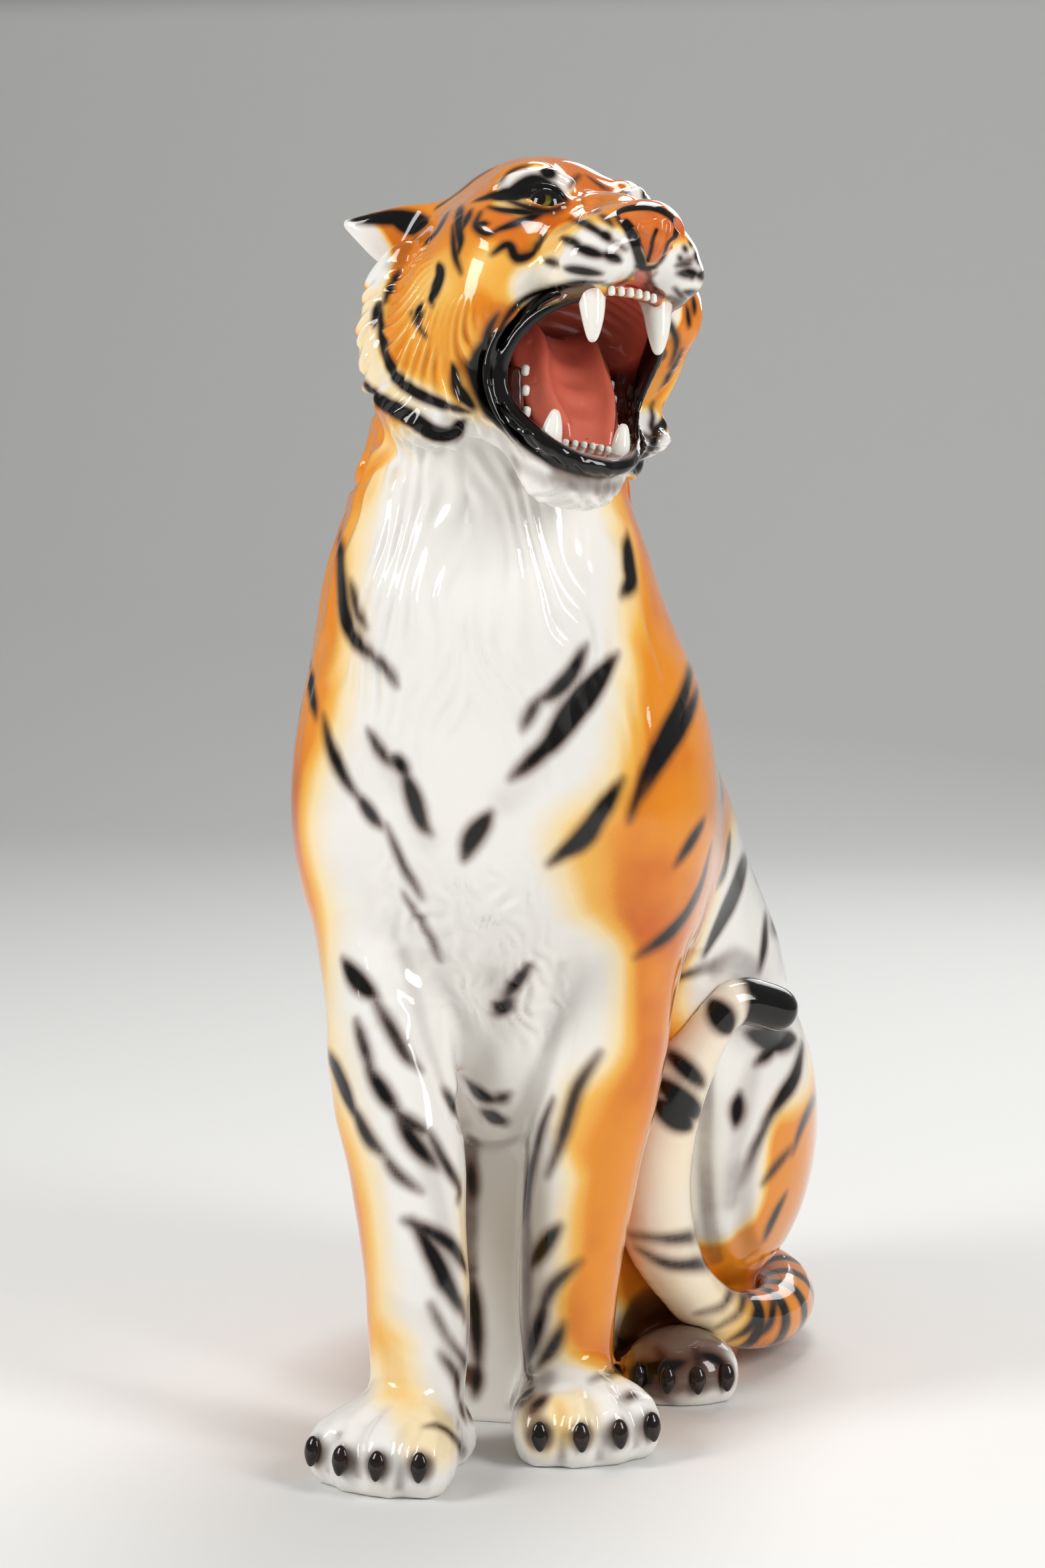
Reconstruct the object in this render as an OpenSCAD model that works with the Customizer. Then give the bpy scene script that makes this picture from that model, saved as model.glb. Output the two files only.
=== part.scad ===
/* [Casting] */
// Thickness of the cast ceramic wall
wall = 8; // [5:0.5:12]
// Thickness of the floor that closes the body
floor_t = 10; // [6:0.5:16]
// Play between a pressed-on piece and its seat
seat_gap = 0.15; // [0.05:0.05:0.3]
// How softly the muscles of the body run into each other
body_blend = 12; // [6:1:18]
// How softly the forms of the head run into each other
head_blend = 8; // [5:1:12]

/* [Torso] */
// Height of the rim where the head is luted on
neck_rim_z = 682; // [674:1:692]
// Middle of the neck
neck_at = [-24, -94, 630]; // [-600:1:900]
// Size of the neck
neck_size = [170, 150, 260]; // [60:1:400]
// Lean of the neck
neck_lean = 18; // [5:1:25]
// Lean of the neck towards the left
neck_side_lean = 8; // [0:1:15]
// Middle of the withers
withers_at = [-14, -12, 520]; // [-600:1:900]
// Size of the withers
withers_size = [150, 150, 270]; // [60:1:400]
// Lean of the withers
withers_lean = 32; // [15:1:45]
// Middle of the throat
throat_at = [-27, -82, 552]; // [-600:1:900]
// Size of the throat
throat_size = [224, 206, 224]; // [60:1:400]
// Middle of the chest
chest_at = [-20, -74, 440]; // [-600:1:900]
// Size of the chest
chest_size = [232, 204, 290]; // [60:1:400]
// Middle of the keel under the chest
keel_at = [-17, -70, 312]; // [-600:1:900]
// Size of the keel under the chest
keel_size = [96, 92, 260]; // [40:1:300]
// Lean of the keel
keel_lean = 14; // [0:1:25]
// Middle of the left shoulder
left_shoulder_at = [70, -44, 425]; // [-600:1:900]
// Middle of the right shoulder
right_shoulder_at = [-116, -60, 425]; // [-600:1:900]
// Size of each shoulder
shoulder_size = [96, 160, 240]; // [40:1:400]
// Middle of the ribs
ribs_at = [0, 58, 370]; // [-600:1:900]
// Size of the ribs
ribs_size = [240, 236, 290]; // [60:1:500]
// Lean of the ribs
ribs_lean = 25; // [0:1:45]
// Middle of the loins
loin_at = [4, 120, 260]; // [-600:1:900]
// Size of the loins
loin_size = [288, 230, 330]; // [60:1:500]
// Lean of the loins
loin_lean = 20; // [0:1:45]
// Middle of the belly
belly_at = [2, 10, 120]; // [-600:1:900]
// Size of the belly
belly_size = [82, 130, 420]; // [60:1:500]
// Middle of the rump
rump_at = [0, 140, 110]; // [-600:1:900]
// Size of the rump
rump_size = [236, 220, 260]; // [60:1:500]

/* [Forelegs] */
// Centre of the left leg at the floor
left_foot_at = [24, -78]; // [-300:1:300]
// Centre of the right leg at the floor
right_foot_at = [-58, -160]; // [-300:1:300]
// Turn of the left paw to the outside
left_paw_turn = 28; // [0:1:40]
// Turn of the right paw to the outside
right_paw_turn = 14; // [0:1:40]
// Width of the leg above the paw
wrist_width = 68; // [50:1:76]
// Depth of the leg above the paw
wrist_depth = 70; // [54:1:86]
// Width of the forearm
forearm_width = 86; // [60:1:96]
// Depth of the forearm
forearm_depth = 96; // [70:1:120]
// Height of the middle of the forearm
forearm_z = 285; // [260:1:300]
// Width of a forepaw across its toes
forepaw_width = 98; // [84:1:112]
// Reach of a forepaw in front of the leg's centre
forepaw_reach = 82; // [70:1:96]
// Height of a forepaw over its knuckles
forepaw_height = 56; // [46:1:64]

/* [Web] */
// Thickness of the wall between the forelegs
web_t = 16; // [10:1:24]
// Distance of the wall's face from the frame's middle
web_y = -62; // [-80:1:-50]

/* [Hindquarters] */
// Middle of the left thigh
thigh_at = [98, 150, 172]; // [-300:1:400]
// Size of a thigh
thigh_size = [132, 190, 240]; // [60:1:300]
// Middle of the left knee
knee_at = [90, 92, 190]; // [-300:1:400]
// Size of a knee and shank
knee_size = [84, 84, 200]; // [40:1:300]
// Plane about which the hind legs mirror each other
hip_mid_x = 4; // [-20:1:20]
// Centre of the left hind foot at the floor
hind_foot_at = [78, 62]; // [-300:1:300]
// Turn of a hind paw to the outside
hind_paw_turn = 12; // [0:1:30]
// Width of a hind paw across its toes
hind_paw_width = 78; // [70:1:96]
// Reach of a hind paw in front of its foot's centre
hind_paw_reach = 66; // [54:1:80]
// Height of a hind paw over its knuckles
hind_paw_height = 48; // [40:1:56]

/* [Tail] */
// Diameter of the tail at its root
tail_root_d = 52; // [40:1:60]
// Diameter of the tail near its tip
tail_tip_d = 34; // [24:1:44]

/* [Head pose] */
// Centre of the skull
head_at = [14, -127, 768]; // [-200:1:900]
// Turn of the head towards its left
head_yaw = 47; // [30:1:60]
// Lift of the muzzle
head_pitch = 20; // [8:1:30]
// Lean of the head towards its left
head_roll = 10; // [0:1:18]

/* [Head] */
// Middle of the cranium, from the centre of the skull
cranium_at = [0, 26, 6]; // [-200:1:200]
// Size of the cranium
cranium_size = [152, 190, 138]; // [40:1:240]
// Middle of the muzzle
muzzle_at = [0, -88, -8]; // [-200:1:200]
// Size of the muzzle
muzzle_size = [64, 104, 52]; // [20:1:160]
// Middle of the left whisker pad
pad_at = [29, -106, -24]; // [-200:1:200]
// Size of a whisker pad
pad_size = [48, 54, 42]; // [20:1:120]
// Middle of the left brow
brow_at = [32, -44, 40]; // [-200:1:200]
// Size of a brow
brow_size = [46, 60, 38]; // [20:1:120]
// Middle of the left cheek
cheek_at = [56, -22, -24]; // [-200:1:200]
// Size of a cheek
cheek_size = [68, 110, 112]; // [20:1:200]
// Middle of the left ruff
ruff_at = [68, 31, -54]; // [-200:1:200]
// Size of a ruff
ruff_size = [60, 92, 110]; // [20:1:200]
// Middle of the nape
nape_at = [0, 92, -60]; // [-200:1:200]
// Size of the nape
nape_size = [124, 112, 124]; // [20:1:200]
// Middle of the left jaw branch
jaw_at = [40, -20, -98]; // [-200:1:200]
// Size of a jaw branch
jaw_size = [42, 56, 84]; // [20:1:160]
// Middle of the chin
chin_at = [0, -30, -136]; // [-200:1:200]
// Size of the chin
chin_size = [84, 56, 48]; // [20:1:160]

/* [Mouth] */
// Middle of the mouth's hollow
mouth_at = [0, -56, -80]; // [-200:1:200]
// Size of the mouth's hollow across, inwards and up its slope
mouth_size = [112, 124, 114]; // [60:1:140]
// Slope of the mouth's hollow
mouth_slope = 34; // [20:1:45]
// Thickness of the lining
lining_t = 6; // [4:0.5:8]
// Length of an upper canine
upper_canine = 30; // [20:1:36]
// Length of a lower canine
lower_canine = 24; // [16:1:30]
// Diameter of a canine at its root
canine_d = 12; // [9:0.5:15]
// Distance between the two upper canines
canine_spread = 52; // [46:1:60]
// Distance between the two lower canines
lower_canine_spread = 48; // [42:1:56]
// Diameter of an incisor
incisor_d = 5.5; // [4:0.5:7]
// Height of an incisor
incisor_l = 6; // [4:0.5:9]
// Distance from one incisor to the next
incisor_step = 7; // [6:0.5:8]
// Height of the lips over the skin
lip_stand = 3; // [1:0.5:5]
// Width of the tongue
tongue_width = 52; // [40:1:60]

/* [Ears, eyes and nose] */
// Length of an ear
ear_length = 62; // [50:1:74]
// Width of an ear
ear_width = 64; // [50:1:76]
// Thickness of an ear at its root
ear_t = 22; // [16:1:28]
// Swing of the ears to the outside
ear_swing = 50; // [20:1:60]
// Angle by which the ears are laid back
ear_lay = -67; // [-80:1:-40]
// Twist of the ears about their length
ear_twist = 110; // [80:1:130]
// Place of the left ear, from the centre of the skull
ear_at = [66, 46, 36]; // [-100:1:100]
// Diameter of an eye
eye_d = 26; // [24:1:34]
// Place of the left eye, from the centre of the skull
eye_at = [33, -65, 23]; // [-100:1:100]
// Depth of an eye's centre under the skin
eye_sink = 10; // [6:0.5:12]
// Middle of the nose pad, from the centre of the skull
nose_at = [0, -130, -13]; // [-200:1:200]
// Size of the nose pad
nose_size = [44, 30, 36]; // [20:1:60]

/* [Claws] */
// Length of a claw
claw_length = 20; // [16:1:24]
// Width of a claw
claw_width = 9.5; // [7:0.5:11]

/* [Hidden] */

// Sides of round pieces, and of the flat-sided sockets that are cut around them
$fn = 40;
socket_sides = 10;
eye_socket_sides = 16;
function around(d, sides) = d / pow(cos(180 / sides), 2);

// Colours of the glazes
white_glaze = [0.93, 0.93, 0.9];
orange_glaze = [0.88, 0.5, 0.16];
black_glaze = [0.06, 0.05, 0.05];
mouth_red = [0.7, 0.32, 0.25];
ivory = [0.95, 0.93, 0.86];
nose_brown = [0.75, 0.4, 0.22];
iris_green = [0.45, 0.45, 0.1];

// Directions of the three axes after a turn about X, then Y, then Z
function turned_axes(t) = [
    [cos(t[2]) * cos(t[1]), sin(t[2]) * cos(t[1]), -sin(t[1])],
    [cos(t[2]) * sin(t[1]) * sin(t[0]) - sin(t[2]) * cos(t[0]),
        sin(t[2]) * sin(t[1]) * sin(t[0]) + cos(t[2]) * cos(t[0]), cos(t[1]) * sin(t[0])],
    [cos(t[2]) * sin(t[1]) * cos(t[0]) + sin(t[2]) * sin(t[0]),
        sin(t[2]) * sin(t[1]) * cos(t[0]) - cos(t[2]) * sin(t[0]), cos(t[1]) * cos(t[0])]];

// One egg-shaped muscle: its middle, its full size and its turn
function muscle(at, size, turn = [0, 0, 0]) =
    let (a = turned_axes(turn))
    [at, [2 * a[0] / size[0], 2 * a[1] / size[1], 2 * a[2] / size[2]]];

// Muscles that run into each other over the blend
function form(muscles, blend) = [muscles, blend, [for (m = muscles) 1]];

// Rough distance of a point from one muscle's surface, below zero inside it
function muscle_gap(p, m) =
    let (q = m[1] * (p - m[0]), k = norm(q), slope = norm(q * m[1]))
    slope < 0.0001 ? -1000 : k * (k - 1) / slope;

// Rough distance of a point from a form's surface
function form_gap(p, f) = -f[1] * ln([for (m = f[0]) exp(-muscle_gap(p, m) / f[1])] * f[2]);

// Length of a ray that comes in from outside in steps and stops on the form's skin
far_out = 330;
ray_steps = 16;
step_share = 0.92;
function ray_length(from, dir, f, level, t, steps) = steps == 0 ? t :
    ray_length(from, dir, f, level,
        max(1, t - step_share * (form_gap(from + t * dir, f) - level)), steps - 1);

// Point of a form's skin on a ray
function skin_point(from, dir, f, level = 0, far = far_out) =
    from + dir * ray_length(from, dir, f, level, far, ray_steps);

// Place on a bent axis, given as rows of height, X and Y
function axis_at(axis, z) =
    [lookup(z, [for (a = axis) [a[0], a[1]]]), lookup(z, [for (a = axis) [a[0], a[2]]]), z];

// Level ring of skin points about a bent axis
function level_ring(axis, z, f, sides, level) =
    let (c = axis_at(axis, z))
    [for (j = [0 : sides - 1]) skin_point(c, [cos(360 * j / sides), sin(360 * j / sides), 0], f, level)];

// Rings about a centre, from close to the bottom pole to close to the top pole
last_ring = 88;
function ball_rings(centre, f, bands, sides, level = 0) =
    [for (i = [0 : bands]) let (e = last_ring * (2 * i / bands - 1))
        [for (j = [0 : sides - 1])
            let (a = 360 * j / sides)
            skin_point(centre, [cos(e) * cos(a), cos(e) * sin(a), sin(e)], f, level)]];

function middle_of(ring) = [for (k = [0 : 2]) [for (p = ring) p[k]] * [for (p = ring) 1] / len(ring)];
function mirrored(p, x = 0) = [2 * x - p[0], p[1], p[2]];
function flat_turn(p, a) = [p[0] * cos(a) - p[1] * sin(a), p[0] * sin(a) + p[1] * cos(a), p[2]];
function joined(lists) = [for (l = lists) each l];
function unit(v) = v / norm(v);

// Closed solid through a row of rings with the same number of points
module ring_solid(rings) {
    n = len(rings[0]);
    rows = len(rings);
    points = concat(joined(rings), [middle_of(rings[0]), middle_of(rings[rows - 1])]);
    low = n * rows;
    sides = [for (i = [0 : rows - 2]) for (j = [0 : n - 1])
        let (a = i * n + j, b = i * n + (j + 1) % n)
        each [[a, a + n, b], [b, a + n, b + n]]];
    ends = [for (j = [0 : n - 1])
        let (k = (j + 1) % n, top = n * (rows - 1))
        each [[j, k, low], [top + k, top + j, low + 1]]];
    polyhedron(points, concat(sides, ends));
}

// Torso
torso_axis = [[0, 0, 100], [150, 0, 90], [300, -5, 20], [450, -16, -40], [560, -20, -70],
    [700, -16, -112]];
torso_form = form([
    muscle(neck_at, neck_size, [neck_lean, neck_side_lean, 0]),
    muscle(withers_at, withers_size, [withers_lean, 0, 0]),
    muscle(throat_at, throat_size),
    muscle(chest_at, chest_size),
    muscle(keel_at, keel_size, [keel_lean, 0, 0]),
    muscle(left_shoulder_at, shoulder_size),
    muscle(right_shoulder_at, shoulder_size),
    muscle(ribs_at, ribs_size, [ribs_lean, 0, 0]),
    muscle(loin_at, loin_size, [loin_lean, 0, 0]),
    muscle(belly_at, belly_size),
    muscle(rump_at, rump_size)], body_blend);
torso_bands = 24;
torso_sides = 38;
torso_bore_bands = 8;

function torso_rings(from, to, bands, level) =
    [for (i = [0 : bands])
        level_ring(torso_axis, from + (to - from) * i / bands, torso_form, torso_sides, level)];

module torso_solid() {
    ring_solid(torso_rings(0, neck_rim_z, torso_bands, 0));
}

module torso_shell() {
    outer = torso_rings(0, neck_rim_z, torso_bands, 0);
    inner = torso_rings(neck_rim_z, floor_t, torso_bore_bands, -wall);
    color(white_glaze) ring_solid(concat(outer, inner));
}

// Muscles of a paw, from its foot's centre on the floor: four toes, the knuckles and the heel.
// Shares are of the paw's width, reach and height
toe_places = [-1, -0.34, 0.34, 1];
toe_splay = 10;
toe_share = [0.29, 0.54, 0.82];
toe_mid_share = 0.36;
toe_line_share = 0.73;
toe_arc_share = 0.12;
knuckle_share = [0.86, 0.86, 1.06];
knuckle_mid_share = [0, -0.36, 0.42];
knuckle_lean = 12;
heel_share = [0.7, 0.66, 0.9];
heel_mid_share = [0, 0.16, 0.3];
paw_blend = body_blend - 5;
function shared(share, size) = [share[0] * size[0], share[1] * size[1], share[2] * size[2]];
function toe_at(i, size) =
    let (s = toe_places[i])
    [s * size[0] * (1 - toe_share[0]) / 2, size[1] * (toe_arc_share * s * s - toe_line_share),
        toe_mid_share * size[2]];
function paw_muscles(at, turn, size) =
    let (foot = [at[0], at[1], 0])
    concat(
        [for (i = [0 : 3])
            muscle(foot + flat_turn(toe_at(i, size), turn), shared(toe_share, size),
                [0, 0, turn + toe_splay * toe_places[i]])],
        [muscle(foot + flat_turn(shared(knuckle_mid_share, size), turn), shared(knuckle_share, size),
            [knuckle_lean, 0, turn]),
        muscle(foot + flat_turn(shared(heel_mid_share, size), turn), shared(heel_share, size),
            [0, 0, turn])]);
forepaw_size = [forepaw_width, forepaw_reach, forepaw_height];
hind_paw_size = [hind_paw_width, hind_paw_reach, hind_paw_height];

// Claws lie half sunk in the fronts of the toes
claw_rise = 10;
claw_depth = 0.8 * claw_width;
claw_from = 120;
module claw() {
    scale([claw_width, claw_depth, claw_length]) sphere(d = 1);
}

module claw_socket() {
    scale([claw_width + 2 * seat_gap, claw_depth + 2 * seat_gap, claw_length + 2 * seat_gap])
        sphere(d = around(1, socket_sides), $fn = socket_sides);
}

module at_toes(foot, turn, size) {
    paw = form(paw_muscles(foot, turn, size), paw_blend);
    for (i = [0 : 3]) {
        splay = turn + toe_splay * toe_places[i];
        toe = [foot[0], foot[1], 0] + flat_turn(toe_at(i, size), turn);
        way = flat_turn([0, -cos(claw_rise), sin(claw_rise)], splay);
        translate(skin_point(toe, way, paw, 0, claw_from)) rotate([-claw_rise, 0, splay]) children();
    }
}

module left_fore_claws() {
    color(black_glaze) at_toes(left_foot_at, left_paw_turn, forepaw_size) claw();
}

module right_fore_claws() {
    color(black_glaze) at_toes(right_foot_at, -right_paw_turn, forepaw_size) claw();
}

module at_hind_toes() {
    at_toes(hind_foot_at, hind_paw_turn, hind_paw_size) children();
}

module left_hind_claws() {
    color(black_glaze) at_hind_toes() claw();
}

module right_hind_claws() {
    color(black_glaze) on_right(hip_mid_x) at_hind_toes() claw();
}

// Forelegs: the paw, the wrist, the shank, the forearm and the muscle over the shoulder
wrist_z = 100;
wrist_length = 190;
wrist_back = 4;
shank_z = 190;
shank_length = 180;
shank_grow = [6, 10];
shank_back = 6;
shank_share = 0.18;
forearm_length = 220;
forearm_lean = -8;
forearm_back = 8;
forearm_share = [0.5, 0.4];
upper_arm_share = [1, 0.86, 0.9];
upper_arm_shift = [0, -10, -40];
upper_arm_inwards = 0.12;
function between(a, b, share) = a + (b - a) * share;
function foreleg_form(foot, shoulder, turn) = form(concat(
    paw_muscles(foot, turn, forepaw_size),
    [muscle([foot[0], foot[1] + wrist_back, wrist_z], [wrist_width, wrist_depth, wrist_length]),
    muscle([between(foot[0], shoulder[0], shank_share),
        between(foot[1], shoulder[1], shank_share) + shank_back, shank_z],
        [wrist_width + shank_grow[0], wrist_depth + shank_grow[1], shank_length]),
    muscle([between(foot[0], shoulder[0], forearm_share[0]),
        between(foot[1], shoulder[1], forearm_share[1]) + forearm_back, forearm_z],
        [forearm_width, forearm_depth, forearm_length], [forearm_lean, 0, 0]),
    muscle([between(shoulder[0], chest_at[0], upper_arm_inwards), shoulder[1], shoulder[2]] + upper_arm_shift,
        shared(upper_arm_share, shoulder_size))]), paw_blend);
paw_axis_share = 0.34;
paw_axis_top = 24;
wrist_axis_z = 70;
function foreleg_axis(foot, shoulder, turn) =
    let (paw = [foot[0], foot[1], 0] + flat_turn([0, -paw_axis_share * forepaw_reach, 0], turn))
    [[0, paw[0], paw[1]], [paw_axis_top, paw[0], paw[1]], [wrist_axis_z, foot[0], foot[1]],
        [shank_z, foot[0], foot[1] + shank_back],
        [forearm_z, between(foot[0], shoulder[0], forearm_share[0]),
            between(foot[1], shoulder[1], forearm_share[1])],
        [shoulder[2], shoulder[0], shoulder[1]]];
foreleg_heights = [0, 5, 11, 18, 25, 32, 39, 46, 53, 61, 72, 90, 120, 155, 190, 225, 260, 295, 330, 360, 390];
foreleg_sides = 26;
foreleg_bore_heights = [80, 130, 200, 270, 330, 390];
foreleg_bore_sides = 14;

function foreleg_rings(foot, shoulder, turn, heights, sides, level) =
    [for (z = heights) level_ring(foreleg_axis(foot, shoulder, turn), z,
        foreleg_form(foot, shoulder, turn), sides, level)];

module foreleg_solid(foot, shoulder, turn) {
    ring_solid(foreleg_rings(foot, shoulder, turn, foreleg_heights, foreleg_sides, 0));
}

module foreleg(foot, shoulder, turn) {
    resize([0, 0, 0]) difference() {
        foreleg_solid(foot, shoulder, turn);
        ring_solid(foreleg_rings(foot, shoulder, turn, foreleg_bore_heights, foreleg_bore_sides, -wall));
        torso_solid();
        at_toes(foot, turn, forepaw_size) claw_socket();
    }
}

module left_foreleg() {
    color(orange_glaze) foreleg(left_foot_at, left_shoulder_at, left_paw_turn);
}

module right_foreleg() {
    color(orange_glaze) foreleg(right_foot_at, right_shoulder_at, -right_paw_turn);
}

// Haunches: the thigh, the knee and the hock that lies on the floor
knee_lean = -10;
hock_size = [74, 150, 60];
hock_shift = [4, 60, 20];
haunch_form = form([
    muscle(thigh_at, thigh_size),
    muscle(knee_at, knee_size, [knee_lean, 0, 0]),
    muscle([hind_foot_at[0], hind_foot_at[1], 0] + hock_shift, hock_size)], body_blend);
haunch_axis_shift = -16;
haunch_axis = [[0, thigh_at[0], thigh_at[1] + haunch_axis_shift],
    [thigh_at[2] + thigh_size[2], thigh_at[0], thigh_at[1] + haunch_axis_shift]];
haunch_bands = 16;
haunch_sides = 28;
haunch_bore_bands = 8;
haunch_bore_sides = 14;
// The last ring lies just under the highest point
top_share = 0.995;
haunch_top = skin_point(axis_at(haunch_axis, thigh_at[2]), [0, 0, 1], haunch_form)[2];

module haunch_solid() {
    ring_solid([for (i = [0 : haunch_bands])
        level_ring(haunch_axis, top_share * haunch_top * sin(90 * i / haunch_bands), haunch_form,
            haunch_sides, 0)]);
}

module haunch_bore() {
    thigh_form = form([muscle(thigh_at, thigh_size)], body_blend);
    ring_solid(ball_rings(thigh_at, thigh_form, haunch_bore_bands, haunch_bore_sides, -wall));
}

module on_right(mid) {
    translate([2 * mid, 0, 0]) mirror([1, 0, 0]) children();
}

module left_haunch() {
    color(orange_glaze) resize([0, 0, 0]) difference() {
        haunch_solid();
        haunch_bore();
        torso_solid();
    }
}

module right_haunch() {
    color(orange_glaze) resize([0, 0, 0]) difference() {
        on_right(hip_mid_x) haunch_solid();
        on_right(hip_mid_x) haunch_bore();
        torso_solid();
    }
}

// Hind paws
hind_paw_form = form(paw_muscles(hind_foot_at, hind_paw_turn, hind_paw_size), paw_blend);
hind_paw_bands = 9;
hind_paw_sides = 26;

module hind_paw_solid() {
    paw = [hind_foot_at[0], hind_foot_at[1], 0]
        + flat_turn([0, -paw_axis_share * hind_paw_reach, 0], hind_paw_turn);
    axis = [[0, paw[0], paw[1]], [hind_paw_height, paw[0], paw[1]]];
    top = skin_point(axis_at(axis, 0), [0, 0, 1], hind_paw_form)[2];
    ring_solid([for (i = [0 : hind_paw_bands])
        level_ring(axis, top_share * top * sin(90 * i / hind_paw_bands), hind_paw_form, hind_paw_sides, 0)]);
}

module left_hind_paw() {
    color(white_glaze) resize([0, 0, 0]) difference() {
        hind_paw_solid();
        haunch_solid();
        torso_solid();
        at_hind_toes() claw_socket();
    }
}

module right_hind_paw() {
    color(white_glaze) resize([0, 0, 0]) difference() {
        on_right(hip_mid_x) difference() {
            hind_paw_solid();
            haunch_solid();
            at_hind_toes() claw_socket();
        }
        torso_solid();
    }
}

// Wall between the forelegs
web_top = keel_at[2] - 60;
module leg_web() {
    color(white_glaze) resize([0, 0, 0]) difference() {
        translate([right_foot_at[0], web_y, 0])
            cube([left_foot_at[0] - right_foot_at[0], web_t, web_top]);
        foreleg_solid(left_foot_at, left_shoulder_at, left_paw_turn);
        foreleg_solid(right_foot_at, right_shoulder_at, -right_paw_turn);
        torso_solid();
    }
}

// Tail, along points from its root to its tip
tail_points = [[10, 250, 46], [60, 262, 36], [104, 246, 34], [130, 208, 34], [138, 164, 32], [128, 116, 34],
    [104, 72, 48], [83, 38, 84], [75, 22, 138], [79, 22, 190], [93, 26, 240], [116, 34, 280], [146, 58, 272]];
tail_steps = 3;
tail_sides = 12;
tail_side_way = [0.6, -0.8, 0];
tip_bands = 4;
tip_turn = 88 / tip_bands;
function curve_point(p, i, t) =
    let (a = p[max(0, i - 1)], b = p[i], c = p[i + 1], d = p[min(len(p) - 1, i + 2)])
    0.5 * (2 * b + (c - a) * t + (2 * a - 5 * b + 4 * c - d) * t * t + (3 * b - a - 3 * c + d) * t * t * t);
tail_curve = concat([for (i = [0 : len(tail_points) - 2]) for (k = [0 : tail_steps - 1])
    curve_point(tail_points, i, k / tail_steps)], [tail_points[len(tail_points) - 1]]);
function tail_way(i) =
    unit(tail_curve[min(i + 1, len(tail_curve) - 1)] - tail_curve[max(i - 1, 0)]);
// The way across a ring is carried on from the ring before it, so that no ring is turned over
function tail_across(i) =
    let (way = tail_way(i), before = i == 0 ? cross(way, tail_side_way) : tail_across(i - 1))
    unit(before - (before * way) * way);
function tail_ring(i) =
    let (across = tail_across(i), over = cross(across, tail_way(i)),
        r = (tail_root_d + (tail_tip_d - tail_root_d) * i / (len(tail_curve) - 1)) / 2)
    [for (j = [0 : tail_sides - 1])
        let (a = 360 * j / tail_sides)
        tail_curve[i] + r * (cos(a) * across - sin(a) * over)];
function tail_tip_ring(k) =
    let (last = len(tail_curve) - 1, end = tail_curve[last], way = unit(end - tail_curve[last - 1]))
    [for (p = tail_ring(last))
        end + (p - end) * cos(tip_turn * k) + way * sin(tip_turn * k) * tail_tip_d / 2];

module tail() {
    color(white_glaze) resize([0, 0, 0]) difference() {
        ring_solid(concat([for (i = [0 : len(tail_curve) - 1]) tail_ring(i)],
            [for (k = [1 : tip_bands]) tail_tip_ring(k)]));
        haunch_solid();
        hind_paw_solid();
        torso_solid();
    }
}

// Head
module in_head() {
    translate(head_at) rotate([0, 0, head_yaw]) rotate([-head_pitch, 0, 0]) rotate([0, head_roll, 0])
        children();
}

function pair(at, size, turn = [0, 0, 0]) =
    [muscle(at, size, turn), muscle(mirrored(at), size, [turn[0], -turn[1], -turn[2]])];
head_form = form(concat(
    [muscle(cranium_at, cranium_size), muscle(muzzle_at, muzzle_size), muscle(chin_at, chin_size),
        muscle(nape_at, nape_size)],
    pair(pad_at, pad_size),
    pair(brow_at, brow_size),
    pair(cheek_at, cheek_size),
    pair(ruff_at, ruff_size),
    pair(jaw_at, jaw_size)), head_blend);
head_centre = [0, -10, -36];
head_bands = 24;
head_sides = 34;
head_bore_bands = 12;
head_bore_sides = 18;
mouth_bands = 14;
mouth_sides = 24;
tooth_root = 3;
mouth_form = form([muscle(mouth_at, mouth_size, [mouth_slope, 0, 0])], head_blend);

module head_solid(grow = 0) {
    ring_solid(ball_rings(head_centre, head_form, head_bands, head_sides, grow));
}

module head_bore() {
    ring_solid(ball_rings(head_centre, head_form, head_bore_bands, head_bore_sides, -wall));
}

module mouth_hollow(grow) {
    ring_solid(ball_rings(mouth_at, mouth_form, mouth_bands, mouth_sides, grow));
}

module head_shell() {
    color(orange_glaze) resize([0, 0, 0]) difference() {
        in_head() difference() {
            head_solid();
            head_bore();
            mouth_hollow(lining_t);
            eye_socket(1);
            eye_socket(-1);
        }
        torso_solid();
    }
}

// Lining of the mouth, whose rim stands proud as the lips
module mouth_lining() {
    color(mouth_red) resize([0, 0, 0]) in_head() difference() {
        intersection() {
            mouth_hollow(lining_t);
            head_solid(lip_stand);
        }
        mouth_hollow(0);
        tooth_sockets();
    }
}

// Teeth stand in the lining, on rays from the middle of the mouth
function gum_point(dir) = skin_point(mouth_at, unit(dir), mouth_form);

// Outline of a tooth, as shares of its radius and of its length
tooth_outline = [[1, 0], [0.92, 0.25], [0.74, 0.5], [0.48, 0.75], [0.2, 0.95], [0, 1]];
root_share = 0.92;
module tooth(length, d) {
    rotate_extrude()
        polygon(concat([[0, -tooth_root], [root_share * d / 2, -tooth_root]],
            [for (p = tooth_outline) [p[0] * d / 2, p[1] * length]]));
}

module tooth_socket(length, d) {
    translate([0, 0, -tooth_root - seat_gap])
        cylinder(h = length + tooth_root + 2 * seat_gap, d = around(d + 2 * seat_gap, socket_sides),
            $fn = socket_sides);
}

// Puts a tooth on the gum at the end of a ray, tipped by an angle towards the back
upper_tip = 180;
lower_tip = 30;
cheek_tip = 20;
module on_gum(ray, tip) {
    translate(gum_point(ray)) rotate([tip, 0, 0]) children();
}

upper_canine_ray = [-44, 34];
lower_canine_ray = [4, -46];
module at_upper_canine(side) {
    on_gum([side * canine_spread / 2, upper_canine_ray[0], upper_canine_ray[1]], upper_tip) children();
}

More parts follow.
